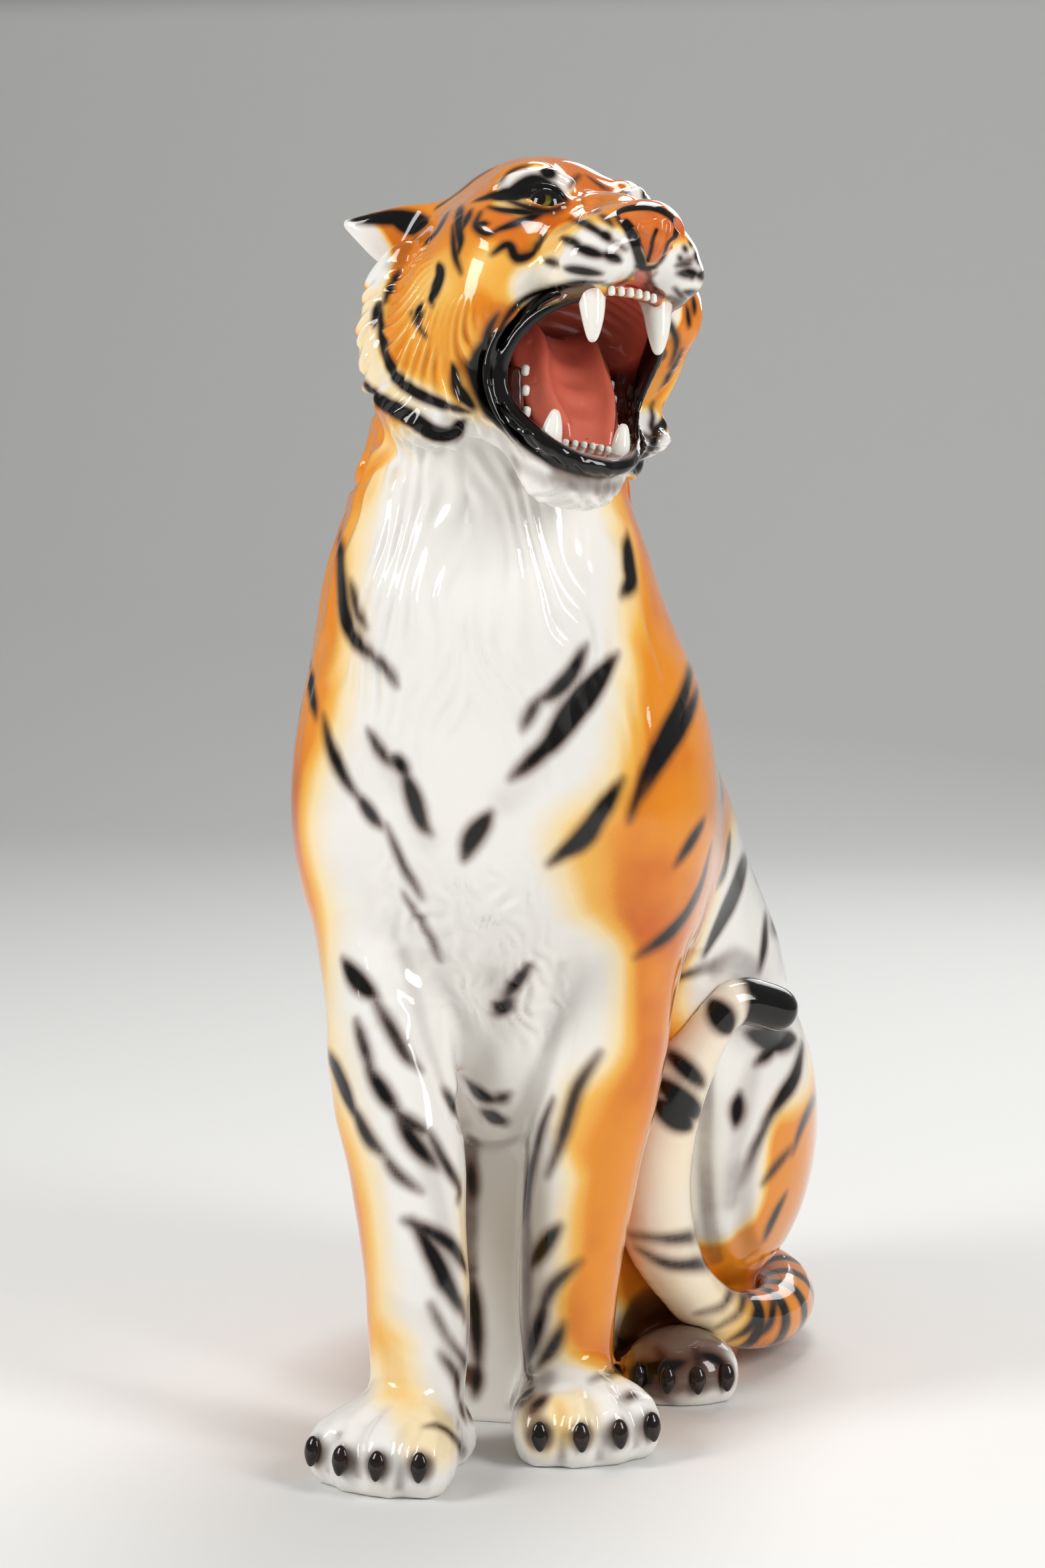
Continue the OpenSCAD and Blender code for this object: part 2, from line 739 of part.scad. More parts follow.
module at_lower_canine(side) {
    on_gum([side * lower_canine_spread / 2, lower_canine_ray[0], lower_canine_ray[1]], lower_tip) children();
}

// Incisors stand on an arc, counted from the middle
incisor_places = [-2.5, -1.5, -0.5, 0.5, 1.5, 2.5];
upper_incisor_ray = [-52, 35];
upper_incisor_arc = 0.4;
lower_incisor_ray = [-3, -52];
lower_incisor_arc = 1;
module at_upper_incisors() {
    for (k = incisor_places)
        on_gum([k * incisor_step, upper_incisor_ray[0] + upper_incisor_arc * k * k, upper_incisor_ray[1]],
            upper_tip) children();
}

module at_lower_incisors() {
    for (k = incisor_places)
        on_gum([k * incisor_step, lower_incisor_ray[0] + lower_incisor_arc * k * k, lower_incisor_ray[1]],
            lower_tip) children();
}

// Cheek teeth climb along the sides of the lower jaw
cheek_teeth = 5;
cheek_ray = [36, 5, -38];
cheek_ray_step = [3, 4, 9];
module at_cheek_teeth(side) {
    for (k = [0 : cheek_teeth - 1]) {
        ray = cheek_ray + k * cheek_ray_step;
        on_gum([side * ray[0], ray[1], ray[2]], cheek_tip) children();
    }
}

module tooth_sockets() {
    for (side = [-1, 1]) {
        at_upper_canine(side) tooth_socket(upper_canine, canine_d);
        at_lower_canine(side) tooth_socket(lower_canine, canine_d);
        at_cheek_teeth(side) tooth_socket(incisor_l, incisor_d);
    }
    at_upper_incisors() tooth_socket(incisor_l, incisor_d);
    at_lower_incisors() tooth_socket(incisor_l, incisor_d);
}

module upper_left_canine() {
    color(ivory) in_head() at_upper_canine(1) tooth(upper_canine, canine_d);
}

module upper_right_canine() {
    color(ivory) in_head() at_upper_canine(-1) tooth(upper_canine, canine_d);
}

module lower_left_canine() {
    color(ivory) in_head() at_lower_canine(1) tooth(lower_canine, canine_d);
}

module lower_right_canine() {
    color(ivory) in_head() at_lower_canine(-1) tooth(lower_canine, canine_d);
}

module upper_incisors() {
    color(ivory) in_head() at_upper_incisors() tooth(incisor_l, incisor_d);
}

module lower_incisors() {
    color(ivory) in_head() at_lower_incisors() tooth(incisor_l, incisor_d);
}

module left_cheek_teeth() {
    color(ivory) in_head() at_cheek_teeth(1) tooth(incisor_l, incisor_d);
}

module right_cheek_teeth() {
    color(ivory) in_head() at_cheek_teeth(-1) tooth(incisor_l, incisor_d);
}

// Tongue on the floor of the mouth
tongue_shift = [0, 26, -24];
tongue_length = 104;
tongue_height = 50;
tongue_slope = 44;
tongue_at = mouth_at + tongue_shift;
tongue_form = form([muscle(tongue_at, [tongue_width, tongue_length, tongue_height], [tongue_slope, 0, 0])],
    head_blend);
tongue_bands = 10;
tongue_sides = 18;

module tongue() {
    color(mouth_red) resize([0, 0, 0]) in_head() difference() {
        intersection() {
            mouth_hollow(0);
            ring_solid(ball_rings(tongue_at, tongue_form, tongue_bands, tongue_sides));
        }
        tooth_sockets();
    }
}

// Eyes
module at_eye(side) {
    ray = unit(eye_at - head_centre);
    place = skin_point(head_centre, ray, head_form) - eye_sink * ray;
    translate([side * place[0], place[1], place[2]]) children();
}

module eyeball(side) {
    at_eye(side) sphere(d = eye_d);
}

module eye_socket(side) {
    at_eye(side) sphere(d = around(eye_d + 2 * seat_gap, eye_socket_sides), $fn = eye_socket_sides);
}

module left_eye() {
    color(iris_green) in_head() eyeball(1);
}

module right_eye() {
    color(iris_green) in_head() eyeball(-1);
}

// Nose pad on the end of the muzzle
nose_form = form([muscle(nose_at, nose_size)], head_blend);
nose_bands = 12;
nose_sides = 18;

module nose_pad() {
    color(nose_brown) resize([0, 0, 0]) in_head() difference() {
        ring_solid(ball_rings(nose_at, nose_form, nose_bands, nose_sides));
        head_solid();
        mouth_hollow(lining_t);
    }
}

// Ears, laid back from the sides of the head and scooped out on their front
ear_sides = 12;
ear_tip_share = 1 / 3;
scoop_share = 1 / 6;
module ear_blank(shrink) {
    r = ear_t / 2 - shrink;
    hull() {
        for (side = [-1, 1])
            translate([side * (ear_width / 2 - ear_t / 2), 0, 0]) sphere(r = r, $fn = ear_sides);
        translate([0, 0, ear_length - ear_tip_share * ear_t]) sphere(r = ear_tip_share * r, $fn = ear_sides);
    }
}

module ear_shape() {
    place = skin_point(head_centre, unit(ear_at - head_centre), head_form);
    translate(place) rotate([0, 0, -ear_swing]) rotate([ear_lay, 0, 0]) rotate([0, 0, ear_twist])
        difference() {
            translate([0, 0, -ear_t / 2]) ear_blank(0);
            translate([0, -ear_t / 2, -ear_t / 4]) ear_blank(scoop_share * ear_t);
        }
}

module left_ear() {
    color(black_glaze) resize([0, 0, 0]) in_head() difference() {
        ear_shape();
        head_solid();
    }
}

module right_ear() {
    color(black_glaze) resize([0, 0, 0]) in_head() difference() {
        mirror([1, 0, 0]) ear_shape();
        head_solid();
    }
}

torso_shell();
left_foreleg();
right_foreleg();
leg_web();
left_haunch();
right_haunch();
left_hind_paw();
right_hind_paw();
tail();
head_shell();
mouth_lining();
tongue();
upper_left_canine();
upper_right_canine();
lower_left_canine();
lower_right_canine();
upper_incisors();
lower_incisors();
left_cheek_teeth();
right_cheek_teeth();
left_ear();
right_ear();
left_eye();
right_eye();
nose_pad();
left_fore_claws();
right_fore_claws();
left_hind_claws();
right_hind_claws();
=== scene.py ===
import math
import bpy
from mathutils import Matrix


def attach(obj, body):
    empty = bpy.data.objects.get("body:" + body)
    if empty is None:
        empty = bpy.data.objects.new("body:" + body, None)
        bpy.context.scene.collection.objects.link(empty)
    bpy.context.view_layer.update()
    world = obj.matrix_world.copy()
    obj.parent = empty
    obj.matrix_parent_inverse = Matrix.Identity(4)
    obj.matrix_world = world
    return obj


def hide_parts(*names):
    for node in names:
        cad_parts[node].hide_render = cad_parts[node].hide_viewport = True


bl_info = {
    "name": "Ceramic tiger",
    "version": (1, 0, 0),
    "blender": (4, 5, 0),
    "location": "View3D > Sidebar > Tiger",
    "description": "Skins, carving, paint and glaze of a sitting ceramic tiger",
    "category": "Object",
}

import bmesh
import bpy
import numpy as np
from mathutils import Euler, Matrix, Vector, noise
from mathutils.bvhtree import BVHTree

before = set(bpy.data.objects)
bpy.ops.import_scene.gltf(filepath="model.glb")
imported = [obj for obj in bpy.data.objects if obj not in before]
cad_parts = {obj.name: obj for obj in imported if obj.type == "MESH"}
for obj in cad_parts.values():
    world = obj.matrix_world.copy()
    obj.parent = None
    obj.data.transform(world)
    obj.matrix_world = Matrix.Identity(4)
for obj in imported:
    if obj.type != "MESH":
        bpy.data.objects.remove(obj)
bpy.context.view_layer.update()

MM = 0.001

# The camera, and the frame in whose pixels the strokes of paint are given
PICTURE = (1568, 2352)
CAMERA_AT = (0.494, -2.426, 0.75)
CAMERA_TURN = (math.radians(82.7), 0.0, math.radians(12.0))
CAMERA_LENS = 84.0
CAMERA_SENSOR = 36.0

# The head's own frame: x to its left, y to its back, z to its top
HEAD_AT = np.array((14.0, -127.0, 768.0)) * MM
HEAD_AXES = np.array(
    Matrix.Rotation(math.radians(47), 3, "Z")
    @ Matrix.Rotation(math.radians(-20), 3, "X")
    @ Matrix.Rotation(math.radians(10), 3, "Y")
)

# Middle of the trunk at some heights: height, x, y in mm
TRUNK = np.array(
    [[0, 0, 100], [150, 0, 90], [300, -5, 20], [450, -16, -40], [560, -20, -70], [700, -16, -112]], float
)
# Start of the rays at it, and how much what they hit may face the camera
TRUNK_RAY = 0.5
TURNED_AWAY = 0.12
# Heights at which the skins are cut: head from trunk, trunk from legs, legs from feet
COLLAR = 0.62
WAIST = 0.3
WRIST = 0.11

LEG_NODES = ("left_foreleg", "right_foreleg", "left_haunch", "right_haunch")
FOOT_NODES = ("leg_web", "left_hind_paw", "right_hind_paw")
BODY_NODES = ("torso_shell", *LEG_NODES, *FOOT_NODES)
HEAD_NODES = ("head_shell", "left_ear", "right_ear")
CANINES = ("upper_left_canine", "upper_right_canine", "lower_left_canine", "lower_right_canine")
SMALL_TEETH = ("upper_incisors", "lower_incisors", "left_cheek_teeth", "right_cheek_teeth")
EYES = ("right_eye", "left_eye")
CLAWS = ("left_fore_claws", "right_fore_claws", "left_hind_claws", "right_hind_claws")
PLUGS = ("mouth_lining", "tongue", "nose_pad", *EYES, *CANINES, *SMALL_TEETH)
# Edge of the faces of the form that fills the castings, and how far inside them it lies
CORE_GRAIN = 0.005
CORE_INSET = 0.0035
# Lowest and highest density of a stripe's paint. It turns black a little above 0.
STRIPE_RANGE = (-1.0, 1.5)
# A stroke that is shorter than this many half-widths keeps its width to its ends
SHORT_STROKE = 4
# Sizes in mm of the bends of strands of fur and of the changes in their height
STRAND_BEND = 38
STRAND_LIFT = 17
# A share below which a corner is left out
FAINT = 0.01


def srgb(red, green, blue):
    """Linear colour of an 8-bit display colour."""
    shares = [c / 255 for c in (red, green, blue)]
    return tuple(c / 12.92 if c <= 0.04045 else ((c + 0.055) / 1.055) ** 2.4 for c in shares)


def length(name, description, default):
    """A length that the user can change."""
    return bpy.props.FloatProperty(name=name, description=description, default=default, unit="LENGTH")


class TigerSizes(bpy.types.PropertyGroup):
    """Sizes of the skins and of their relief."""

    body_grain: length("Body grain", "Edge of the faces of the body's skin", 0.0024)
    head_grain: length("Head grain", "Edge of the faces of the head's skin", 0.00135)
    mouth_grain: length("Mouth grain", "Edge of the faces inside the mouth", 0.0013)
    tail_grain: length("Tail grain", "Edge of the faces of the tail", 0.0026)
    coat_relief: length("Coat relief", "Height of the waves of the coat on the chest", 0.0012)
    ruff_relief: length("Ruff relief", "Depth of the grooves in the ruff", 0.0022)


def colour(name, description, *rgb):
    """A colour that the user can change."""
    return bpy.props.FloatVectorProperty(
        name=name, description=description, default=srgb(*rgb), subtype="COLOR", size=3, min=0, max=1
    )


class TigerColours(bpy.types.PropertyGroup):
    """Colours of the glazes."""

    orange: colour("Orange", "Sprayed orange of the coat", 232, 142, 34)
    deep_orange: colour("Deep orange", "Orange where the spray is heaviest", 206, 98, 20)
    yellow: colour("Yellow", "Thinner spray at the edge of the orange", 243, 184, 82)
    cream: colour("Cream", "Thin spray between the orange and the white", 248, 222, 168)
    white: colour("White", "White glaze of the chest and the paws", 240, 237, 231)
    black: colour("Black", "Black of the stripes", 9, 7, 6)
    stripe_edge: colour("Stripe edge", "Warm brown where the black of a stripe thins out", 82, 46, 27)
    # The brown is painted shade: in the creases, between the parts, round the claws and in and under the
    # lips. In the creases it is partly also the glaze's own airbrushed brown.
    brown: colour("Brown", "Sprayed shadow in the creases", 86, 56, 40)
    claw: colour("Claw", "Black of the claws", 16, 12, 11)
    ivory: colour("Ivory", "Glaze of the teeth", 240, 238, 228)
    gum: colour("Gum", "Pink at the roots of the teeth", 206, 116, 102)
    mouth: colour("Mouth", "Red of the mouth", 186, 88, 70)
    # The throat's dark brown is painted shade, the deepest of the mouth's
    throat: colour("Throat", "Dark brown of the throat", 58, 24, 17)
    tongue: colour("Tongue", "Salmon red of the tongue", 212, 106, 84)
    nose: colour("Nose", "Leather brown of the nose", 206, 100, 38)
    light_nose: colour("Light nose", "Lighter patches of the nose", 222, 122, 52)
    iris: colour("Iris", "Olive yellow of the eyes", 122, 118, 24)
    dark_iris: colour("Dark iris", "Dark fibres of the iris", 84, 74, 14)
    light_claw: colour("Light claw", "Lighter patches of the claws", 44, 30, 24)
    floor: colour("Floor", "Paint of the floor and the wall", 226, 226, 224)
    sky: colour("Sky", "Light from all round", 232, 232, 232)


# Picture plane


def camera_ray(x, y):
    """Start and direction of the ray through a pixel of the picture."""
    focal = CAMERA_LENS / CAMERA_SENSOR * PICTURE[1]
    way = Vector(((x - PICTURE[0] / 2) / focal, (PICTURE[1] / 2 - y) / focal, -1.0))
    way.rotate(Euler(CAMERA_TURN))
    return Vector(CAMERA_AT), way.normalized()


def to_head(points):
    """Points in the head's own frame, in mm."""
    return (np.asarray(points) - HEAD_AT) @ HEAD_AXES / MM


def from_head(points):
    """Points of the head's own frame, in mm, in the part's frame."""
    return np.asarray(points) * MM @ HEAD_AXES.T + HEAD_AT


# Skins


def copied(nodes):
    """A bmesh of copies of CAD nodes, each with its corners merged."""
    whole = bmesh.new()
    for node in nodes:
        part = bmesh.new()
        part.from_mesh(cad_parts[node].data)
        bmesh.ops.remove_doubles(part, verts=part.verts, dist=1e-6)
        mesh = bpy.data.meshes.new("copy")
        part.to_mesh(mesh)
        part.free()
        whole.from_mesh(mesh)
        bpy.data.meshes.remove(mesh)
    return whole


def add_object(name, bm):
    """A new object of a bmesh, which is freed."""
    mesh = bpy.data.meshes.new(name)
    bm.to_mesh(mesh)
    bm.free()
    piece = bpy.data.objects.new(name, mesh)
    bpy.context.scene.collection.objects.link(piece)
    return piece


def groups_of(bm):
    """The sets of corners of a bmesh that hang together."""
    left = set(bm.verts)
    groups = []
    for first in bm.verts:
        if first not in left:
            continue
        left.remove(first)
        group = [first]
        for corner in group:
            for link in corner.link_edges:
                other = link.other_vert(corner)
                if other in left:
                    left.remove(other)
                    group.append(other)
        groups.append(group)
    return groups


def corners_of(mesh):
    """Places of the corners of a mesh."""
    return np.array([tuple(corner.co) for corner in mesh.vertices])


def largest_island(bm):
    """Leaves only the island with the most corners."""
    best = set(max(groups_of(bm), key=len))
    bmesh.ops.delete(bm, geom=[v for v in bm.verts if v not in best], context="VERTS")


class Skin:
    """The outer skin of some castings: a mesh of even faces that can be smoothed, carved and painted."""

    def __init__(self, name, bm, grain):
        self.piece = add_object(name, bm)
        remesh = self.piece.modifiers.new("Skin", "REMESH")
        remesh.mode = "VOXEL"
        remesh.voxel_size = grain
        ready = self.piece.evaluated_get(bpy.context.evaluated_depsgraph_get())
        mesh = bpy.data.meshes.new_from_object(ready)
        self.piece.modifiers.clear()
        bm = bmesh.new()
        bm.from_mesh(mesh)
        largest_island(bm)
        bm.to_mesh(mesh)
        bm.free()
        self.piece.data = mesh
        mesh.name = name
        self.read()

    def read(self):
        """Takes the corners and edges from the mesh."""
        mesh = self.piece.data
        self.points = np.empty((len(mesh.vertices), 3), np.float32)
        mesh.vertices.foreach_get("co", self.points.ravel())
        self.points = self.points.astype(float)
        self.edges = np.empty((len(mesh.edges), 2), np.int32)
        mesh.edges.foreach_get("vertices", self.edges.ravel())
        self.links = np.bincount(self.edges.ravel(), minlength=len(self.points)).clip(1)
        self.comb = np.zeros(len(self.points))

    def write(self):
        """Puts the corners back into the mesh."""
        mesh = self.piece.data
        mesh.vertices.foreach_set("co", self.points.astype(np.float32).ravel())
        mesh.update()

    def normals(self):
        """Directions in which the corners face."""
        self.write()
        mesh = self.piece.data
        facing = np.empty((len(mesh.vertices), 3), np.float32)
        mesh.vertex_normals.foreach_get("vector", facing.ravel())
        return facing.astype(float)

    def tree(self):
        """A tree of the faces, for rays."""
        self.write()
        mesh = self.piece.data
        return BVHTree.FromPolygons(
            [tuple(v.co) for v in mesh.vertices], [tuple(p.vertices) for p in mesh.polygons]
        )

    def around(self, values):
        """Mean of each corner's neighbours."""
        a, b = self.edges.T
        count = len(self.points)
        total = np.stack(
            [
                np.bincount(a, values[b, k], count) + np.bincount(b, values[a, k], count)
                for k in range(values.shape[1])
            ],
            1,
        )
        return total / self.links[:, None]

    def blur(self, rounds, share=0.5):
        """Evens the skin out. share may differ from corner to corner."""
        share = np.broadcast_to(np.asarray(share, float), len(self.points))[:, None]
        for k in range(rounds):
            self.points += share * (self.around(self.points) - self.points)

    def push(self, field, facing=None):
        """Moves the corners out along their normals by a height in metres."""
        facing = self.normals() if facing is None else facing
        self.points += facing * np.asarray(field)[:, None]


def near_path(points, path, reach):
    """Corners near a path: their numbers, their distance to it, and how far along it they lie."""
    path = np.asarray(path, float)
    low, high = path.min(0) - reach, path.max(0) + reach
    numbers = np.flatnonzero(((points > low) & (points < high)).all(1))
    spots = points[numbers]
    best = np.full(len(spots), 1e9)
    along = np.zeros(len(spots))
    steps = np.linalg.norm(np.diff(path, axis=0), axis=1)
    total = max(steps.sum(), 1e-9)
    done = 0.0
    for start, end, step in zip(path[:-1], path[1:], steps):
        line = end - start
        share = ((spots - start) @ line / max(line @ line, 1e-12)).clip(0, 1)
        gap = np.linalg.norm(spots - start - share[:, None] * line, axis=1)
        closer = gap < best
        best[closer] = gap[closer]
        along[closer] = ((done + share * step) / total)[closer]
        done += step
    keep = best < reach
    return numbers[keep], best[keep], along[keep]


def curve_through(points, parts=4):
    """A smooth path through some points."""
    points = [np.asarray(p, float) for p in points]
    if len(points) < 3:
        return np.array(points)
    ends = [2 * points[0] - points[1]] + points + [2 * points[-1] - points[-2]]
    path = []
    for a, b, c, d in zip(ends, ends[1:], ends[2:], ends[3:]):
        square = 2 * a - 5 * b + 4 * c - d
        cube = 3 * b - a - 3 * c + d
        for k in range(parts):
            t = k / parts
            path.append(0.5 * (2 * b + (c - a) * t + square * t * t + cube * t ** 3))
    return np.array(path + [points[-1]])


def seen(tree, pixels):
    """The path on a skin that lies under a path of pixels."""
    path = []
    for x, y in curve_through(pixels):
        hit = tree.ray_cast(*camera_ray(x, y))[0]
        if hit is not None:
            path.append(np.array(hit))
    return path


def round_trunk(tree, turns):
    """The path on the body through pairs of an angle from the back and a height in mm.

    It leaves out what the camera sees."""
    path = []
    heights, middle_x, middle_y = TRUNK.T
    for angle, height in curve_through(turns):
        x = np.interp(height, heights, middle_x)
        y = np.interp(height, heights, middle_y)
        middle = np.array([x, y, height])
        way = np.array([math.sin(math.radians(angle)), math.cos(math.radians(angle)), 0.0])
        hit, facing, _, _ = tree.ray_cast(Vector(middle * MM + TRUNK_RAY * way), Vector(-way))
        if hit is not None and facing.dot((Vector(CAMERA_AT) - hit).normalized()) < TURNED_AWAY:
            path.append(np.array(hit))
    return path


def smooth_step(low, high, value):
    """Soft step from 0 at low to 1 at high."""
    share = ((value - low) / (high - low)).clip(0, 1)
    return share * share * (3 - 2 * share)


def plateau(start, full, fade, end, value):
    """Soft step from 0 at start to 1 at full, and back from 1 at fade to 0 at end."""
    return smooth_step(start, full, value) * smooth_step(end, fade, value)


def keep_layer(mesh, name, values):
    """Stores a value per corner on a mesh."""
    layer = mesh.attributes.new(name, "FLOAT", "POINT")
    layer.data.foreach_set("value", np.asarray(values, np.float32))


class Paint:
    """What is sprayed on a skin: stripes, white, painted shade and the pink of the gums."""

    def __init__(self, skin):
        self.skin = skin
        count = len(skin.points)
        self.stripe = np.full(count, STRIPE_RANGE[0])
        self.white = np.zeros(count)
        self.shade = np.zeros(count)
        self.gum = np.zeros(count)
        self.comb = skin.comb

    def brush(self, path, width, soft=6.5, taper=0.12):
        """A stripe along a path with a half-width in mm, thinner towards its ends."""
        if len(path) < 2:
            return
        long = np.linalg.norm(np.diff(path, axis=0), axis=1).sum()
        taper = max(taper, 1 - long / (SHORT_STROKE * width * MM))
        numbers, gap, along = near_path(self.skin.points, path, (width + soft) * MM)
        swell = taper + (1 - taper) * np.sin(np.pi * along.clip(0.001, 0.999)) ** 0.7
        self.darken(numbers, (width * swell * MM - gap) / (soft * MM))

    def darken(self, numbers, density):
        """Adds a density of black to some corners."""
        density = density.clip(*STRIPE_RANGE)
        self.stripe[numbers] = np.maximum(self.stripe[numbers], density)

    def spray(self, layer, path, width, soft, amount=1.0):
        """A soft cloud along a path, full within a half-width in mm and gone past soft mm more.

        A negative amount takes away what lies there."""
        if len(path) == 1:
            path = [path[0], path[0] + 1e-5]
        if len(path) < 2:
            return
        numbers, gap, _ = near_path(self.skin.points, path, (width + soft) * MM)
        cover = abs(amount) * (1 - smooth_step(width * MM, (width + soft) * MM, gap))
        full = 1.0 if amount > 0 else 0.0
        layer[numbers] += (full - layer[numbers]) * cover

    def brush_all(self, strokes, paths_of, *stroke):
        """Brushes a table of strokes. paths_of turns a path of pixels into paths on the skin."""
        for width, *pixels in strokes:
            for path in paths_of(pixels):
                self.brush(path, width, *stroke)

    def spray_all(self, layer, sprays, paths_of):
        """Sprays a table of clouds, in the same way."""
        for width, soft, amount, *pixels in sprays:
            for path in paths_of(pixels):
                self.spray(layer, path, width, soft, amount)

    def keep(self):
        """Softens the stripes' edges and stores the layers on the mesh."""
        for k in range(2):
            self.stripe = 0.5 * (self.stripe + self.skin.around(self.stripe[:, None])[:, 0])
        for name in ("stripe", "white", "shade", "comb", "gum"):
            keep_layer(self.skin.piece.data, name, getattr(self, name))


# Shaders


class Wire:
    """A socket of a shader that can be used in arithmetic."""

    def __init__(self, shader, socket):
        self.shader = shader
        self.socket = socket

    def maths(self, operation, first, second):
        """A new socket with the result of an operation on two values or sockets."""
        node = self.shader.add("ShaderNodeMath", {"operation": operation}, {0: first, 1: second})
        return Wire(self.shader, node.outputs[0])

    def __add__(self, other):
        return self.maths("ADD", self, other)

    def __radd__(self, other):
        return self.maths("ADD", other, self)

    def __sub__(self, other):
        return self.maths("SUBTRACT", self, other)

    def __rsub__(self, other):
        return self.maths("SUBTRACT", other, self)

    def __mul__(self, other):
        return self.maths("MULTIPLY", self, other)

    def __rmul__(self, other):
        return self.maths("MULTIPLY", other, self)


class Glaze:
    """A glazed material and its nodes."""

    def __init__(self, name, coat=1.0):
        self.material = bpy.data.materials.new(name)
        self.material.use_nodes = True
        self.nodes = self.material.node_tree.nodes
        self.links = self.material.node_tree.links
        self.surface = self.nodes["Principled BSDF"]
        self.surface.inputs["Coat Weight"].default_value = coat
        self.surface.inputs["Coat Roughness"].default_value = 0.03
        self.surface.inputs["Coat IOR"].default_value = 1.38
        self.surface.inputs["Specular IOR Level"].default_value = 0.15
        self.place = self.wire(self.add("ShaderNodeTexCoord"), "Object")

    def add(self, kind, settings=None, values=None):
        """A node with its settings and the values or wires of its sockets."""
        node = self.nodes.new(kind)
        for key, value in (settings or {}).items():
            if key == "stops":
                self.set_stops(node.color_ramp, value)
            else:
                setattr(node, key, value)
        for key, value in (values or {}).items():
            self.feed(node.inputs[key], value)
        return node

    def set_stops(self, ramp, stops):
        """Gives a colour ramp its stops."""
        while len(ramp.elements) < len(stops):
            ramp.elements.new(1.0)
        for element, (position, rgb) in zip(ramp.elements, stops):
            element.position = position
            element.color = (*rgb, 1.0)

    def feed(self, socket, value):
        """Sets a socket to a value, or links a wire to it."""
        if isinstance(value, Wire):
            self.links.new(value.socket, socket)
        elif isinstance(value, tuple) and len(value) == 3 and socket.type == "RGBA":
            socket.default_value = (*value, 1.0)
        else:
            socket.default_value = value

    def wire(self, node, output=0):
        """An output of a node as a wire."""
        return Wire(self, node.outputs[output])

    def attribute(self, name):
        """A layer that is stored on the mesh."""
        return self.wire(self.add("ShaderNodeAttribute", {"attribute_name": name}), "Fac")

    def noise(self, scale, detail=2.0, roughness=0.5):
        """Soft noise over the piece."""
        values = {"Vector": self.place, "Scale": scale, "Detail": detail, "Roughness": roughness}
        return self.wire(self.add("ShaderNodeTexNoise", None, values), "Fac")

    def step(self, value, low, high):
        """Soft step from 0 at low to 1 at high."""
        values = {"Value": value, "From Min": low, "From Max": high}
        node = self.add("ShaderNodeMapRange", {"interpolation_type": "SMOOTHSTEP"}, values)
        return self.wire(node, "Result")

    def mix(self, share, first, second):
        """A share of the way from one colour to another."""
        values = {0: share, 6: first, 7: second}
        return self.wire(self.add("ShaderNodeMix", {"data_type": "RGBA"}, values), 2)

    def ramp(self, value, *stops):
        """The colour at a value between the stops of a ramp."""
        return self.wire(self.add("ShaderNodeValToRGB", {"stops": stops}, {"Fac": value}), "Color")

    def finish(self, base, roughness, height=None, distance=0.001, strength=0.3):
        """Feeds the surface and returns the material."""
        self.feed(self.surface.inputs["Base Color"], base)
        self.feed(self.surface.inputs["Roughness"], roughness)
        if height is not None:
            values = {"Height": height, "Distance": distance, "Strength": strength}
            bump = self.add("ShaderNodeBump", None, values)
            self.links.new(bump.outputs["Normal"], self.surface.inputs["Normal"])
        return self.material


def rgb(value):
    """A colour property as a plain tuple."""
    return tuple(value)[:3]


def striped_glaze(colours):
    """White, cream and orange sprays with black stripes and brown painted shade under a clear glaze."""
    made = bpy.data.materials.get("coat_glaze")
    if made:
        return made
    glaze = Glaze("coat_glaze")
    cloud = glaze.noise(9.0, 3.0)
    speckle = glaze.noise(420.0, 2.0, 0.7)
    comb = glaze.attribute("comb")
    white = glaze.attribute("white") + 0.3 * (cloud - 0.5) + 0.05 * (speckle - 0.5) + 0.14 * comb
    orange = glaze.mix(glaze.step(cloud, 0.42, 0.72), rgb(colours.orange), rgb(colours.deep_orange))
    light = glaze.ramp(
        white,
        (0.2, rgb(colours.orange)), (0.42, rgb(colours.yellow)),
        (0.62, rgb(colours.cream)), (0.95, rgb(colours.white)),
    )
    coat = glaze.mix(glaze.step(white, 0.1, 0.3), orange, light)
    coat = glaze.mix(glaze.step(glaze.attribute("gum"), 0.2, 0.8), coat, rgb(colours.gum))
    # Painted shade: the shade layer, broken up by noise, turns the coat brown
    smoke = glaze.noise(26.0, 3.0)
    shade = glaze.attribute("shade") * (0.55 + smoke * 0.9)
    coat = glaze.mix(glaze.step(shade, 0.0, 1.0) * 0.92, coat, rgb(colours.brown))
    stripe = glaze.attribute("stripe") + 0.05 * (speckle - 0.5) + 0.5 * (smoke - 0.5) - 0.12 * comb
    coat = glaze.mix(glaze.step(stripe, -0.95, 0.3) * 0.82, coat, rgb(colours.stripe_edge))
    coat = glaze.mix(glaze.step(stripe, -0.12, 0.48), coat, rgb(colours.black))
    ripple = glaze.noise(70.0, 2.0)
    return glaze.finish(coat, 0.1 + cloud * 0.08, ripple, 0.0006, 0.25)


def plain_glaze(name, base, second, scale, roughness=0.1):
    """A glaze whose colour drifts between two shades."""
    glaze = Glaze(name)
    cloud = glaze.noise(scale, 3.0)
    fine = glaze.noise(scale * 9, 2.0)
    tone = glaze.mix(glaze.step(cloud, 0.35, 0.65), base, second)
    return glaze.finish(tone, roughness + cloud * 0.06, fine, 0.0004, 0.2)


def finish_piece(piece, material, slot, *nodes):
    """Gives a piece its material and its place in the part."""
    piece.data.materials.clear()
    piece.data.materials.append(material)
    piece.data.polygons.foreach_set("use_smooth", [True] * len(piece.data.polygons))
    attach(piece, "root")
    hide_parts(*nodes)


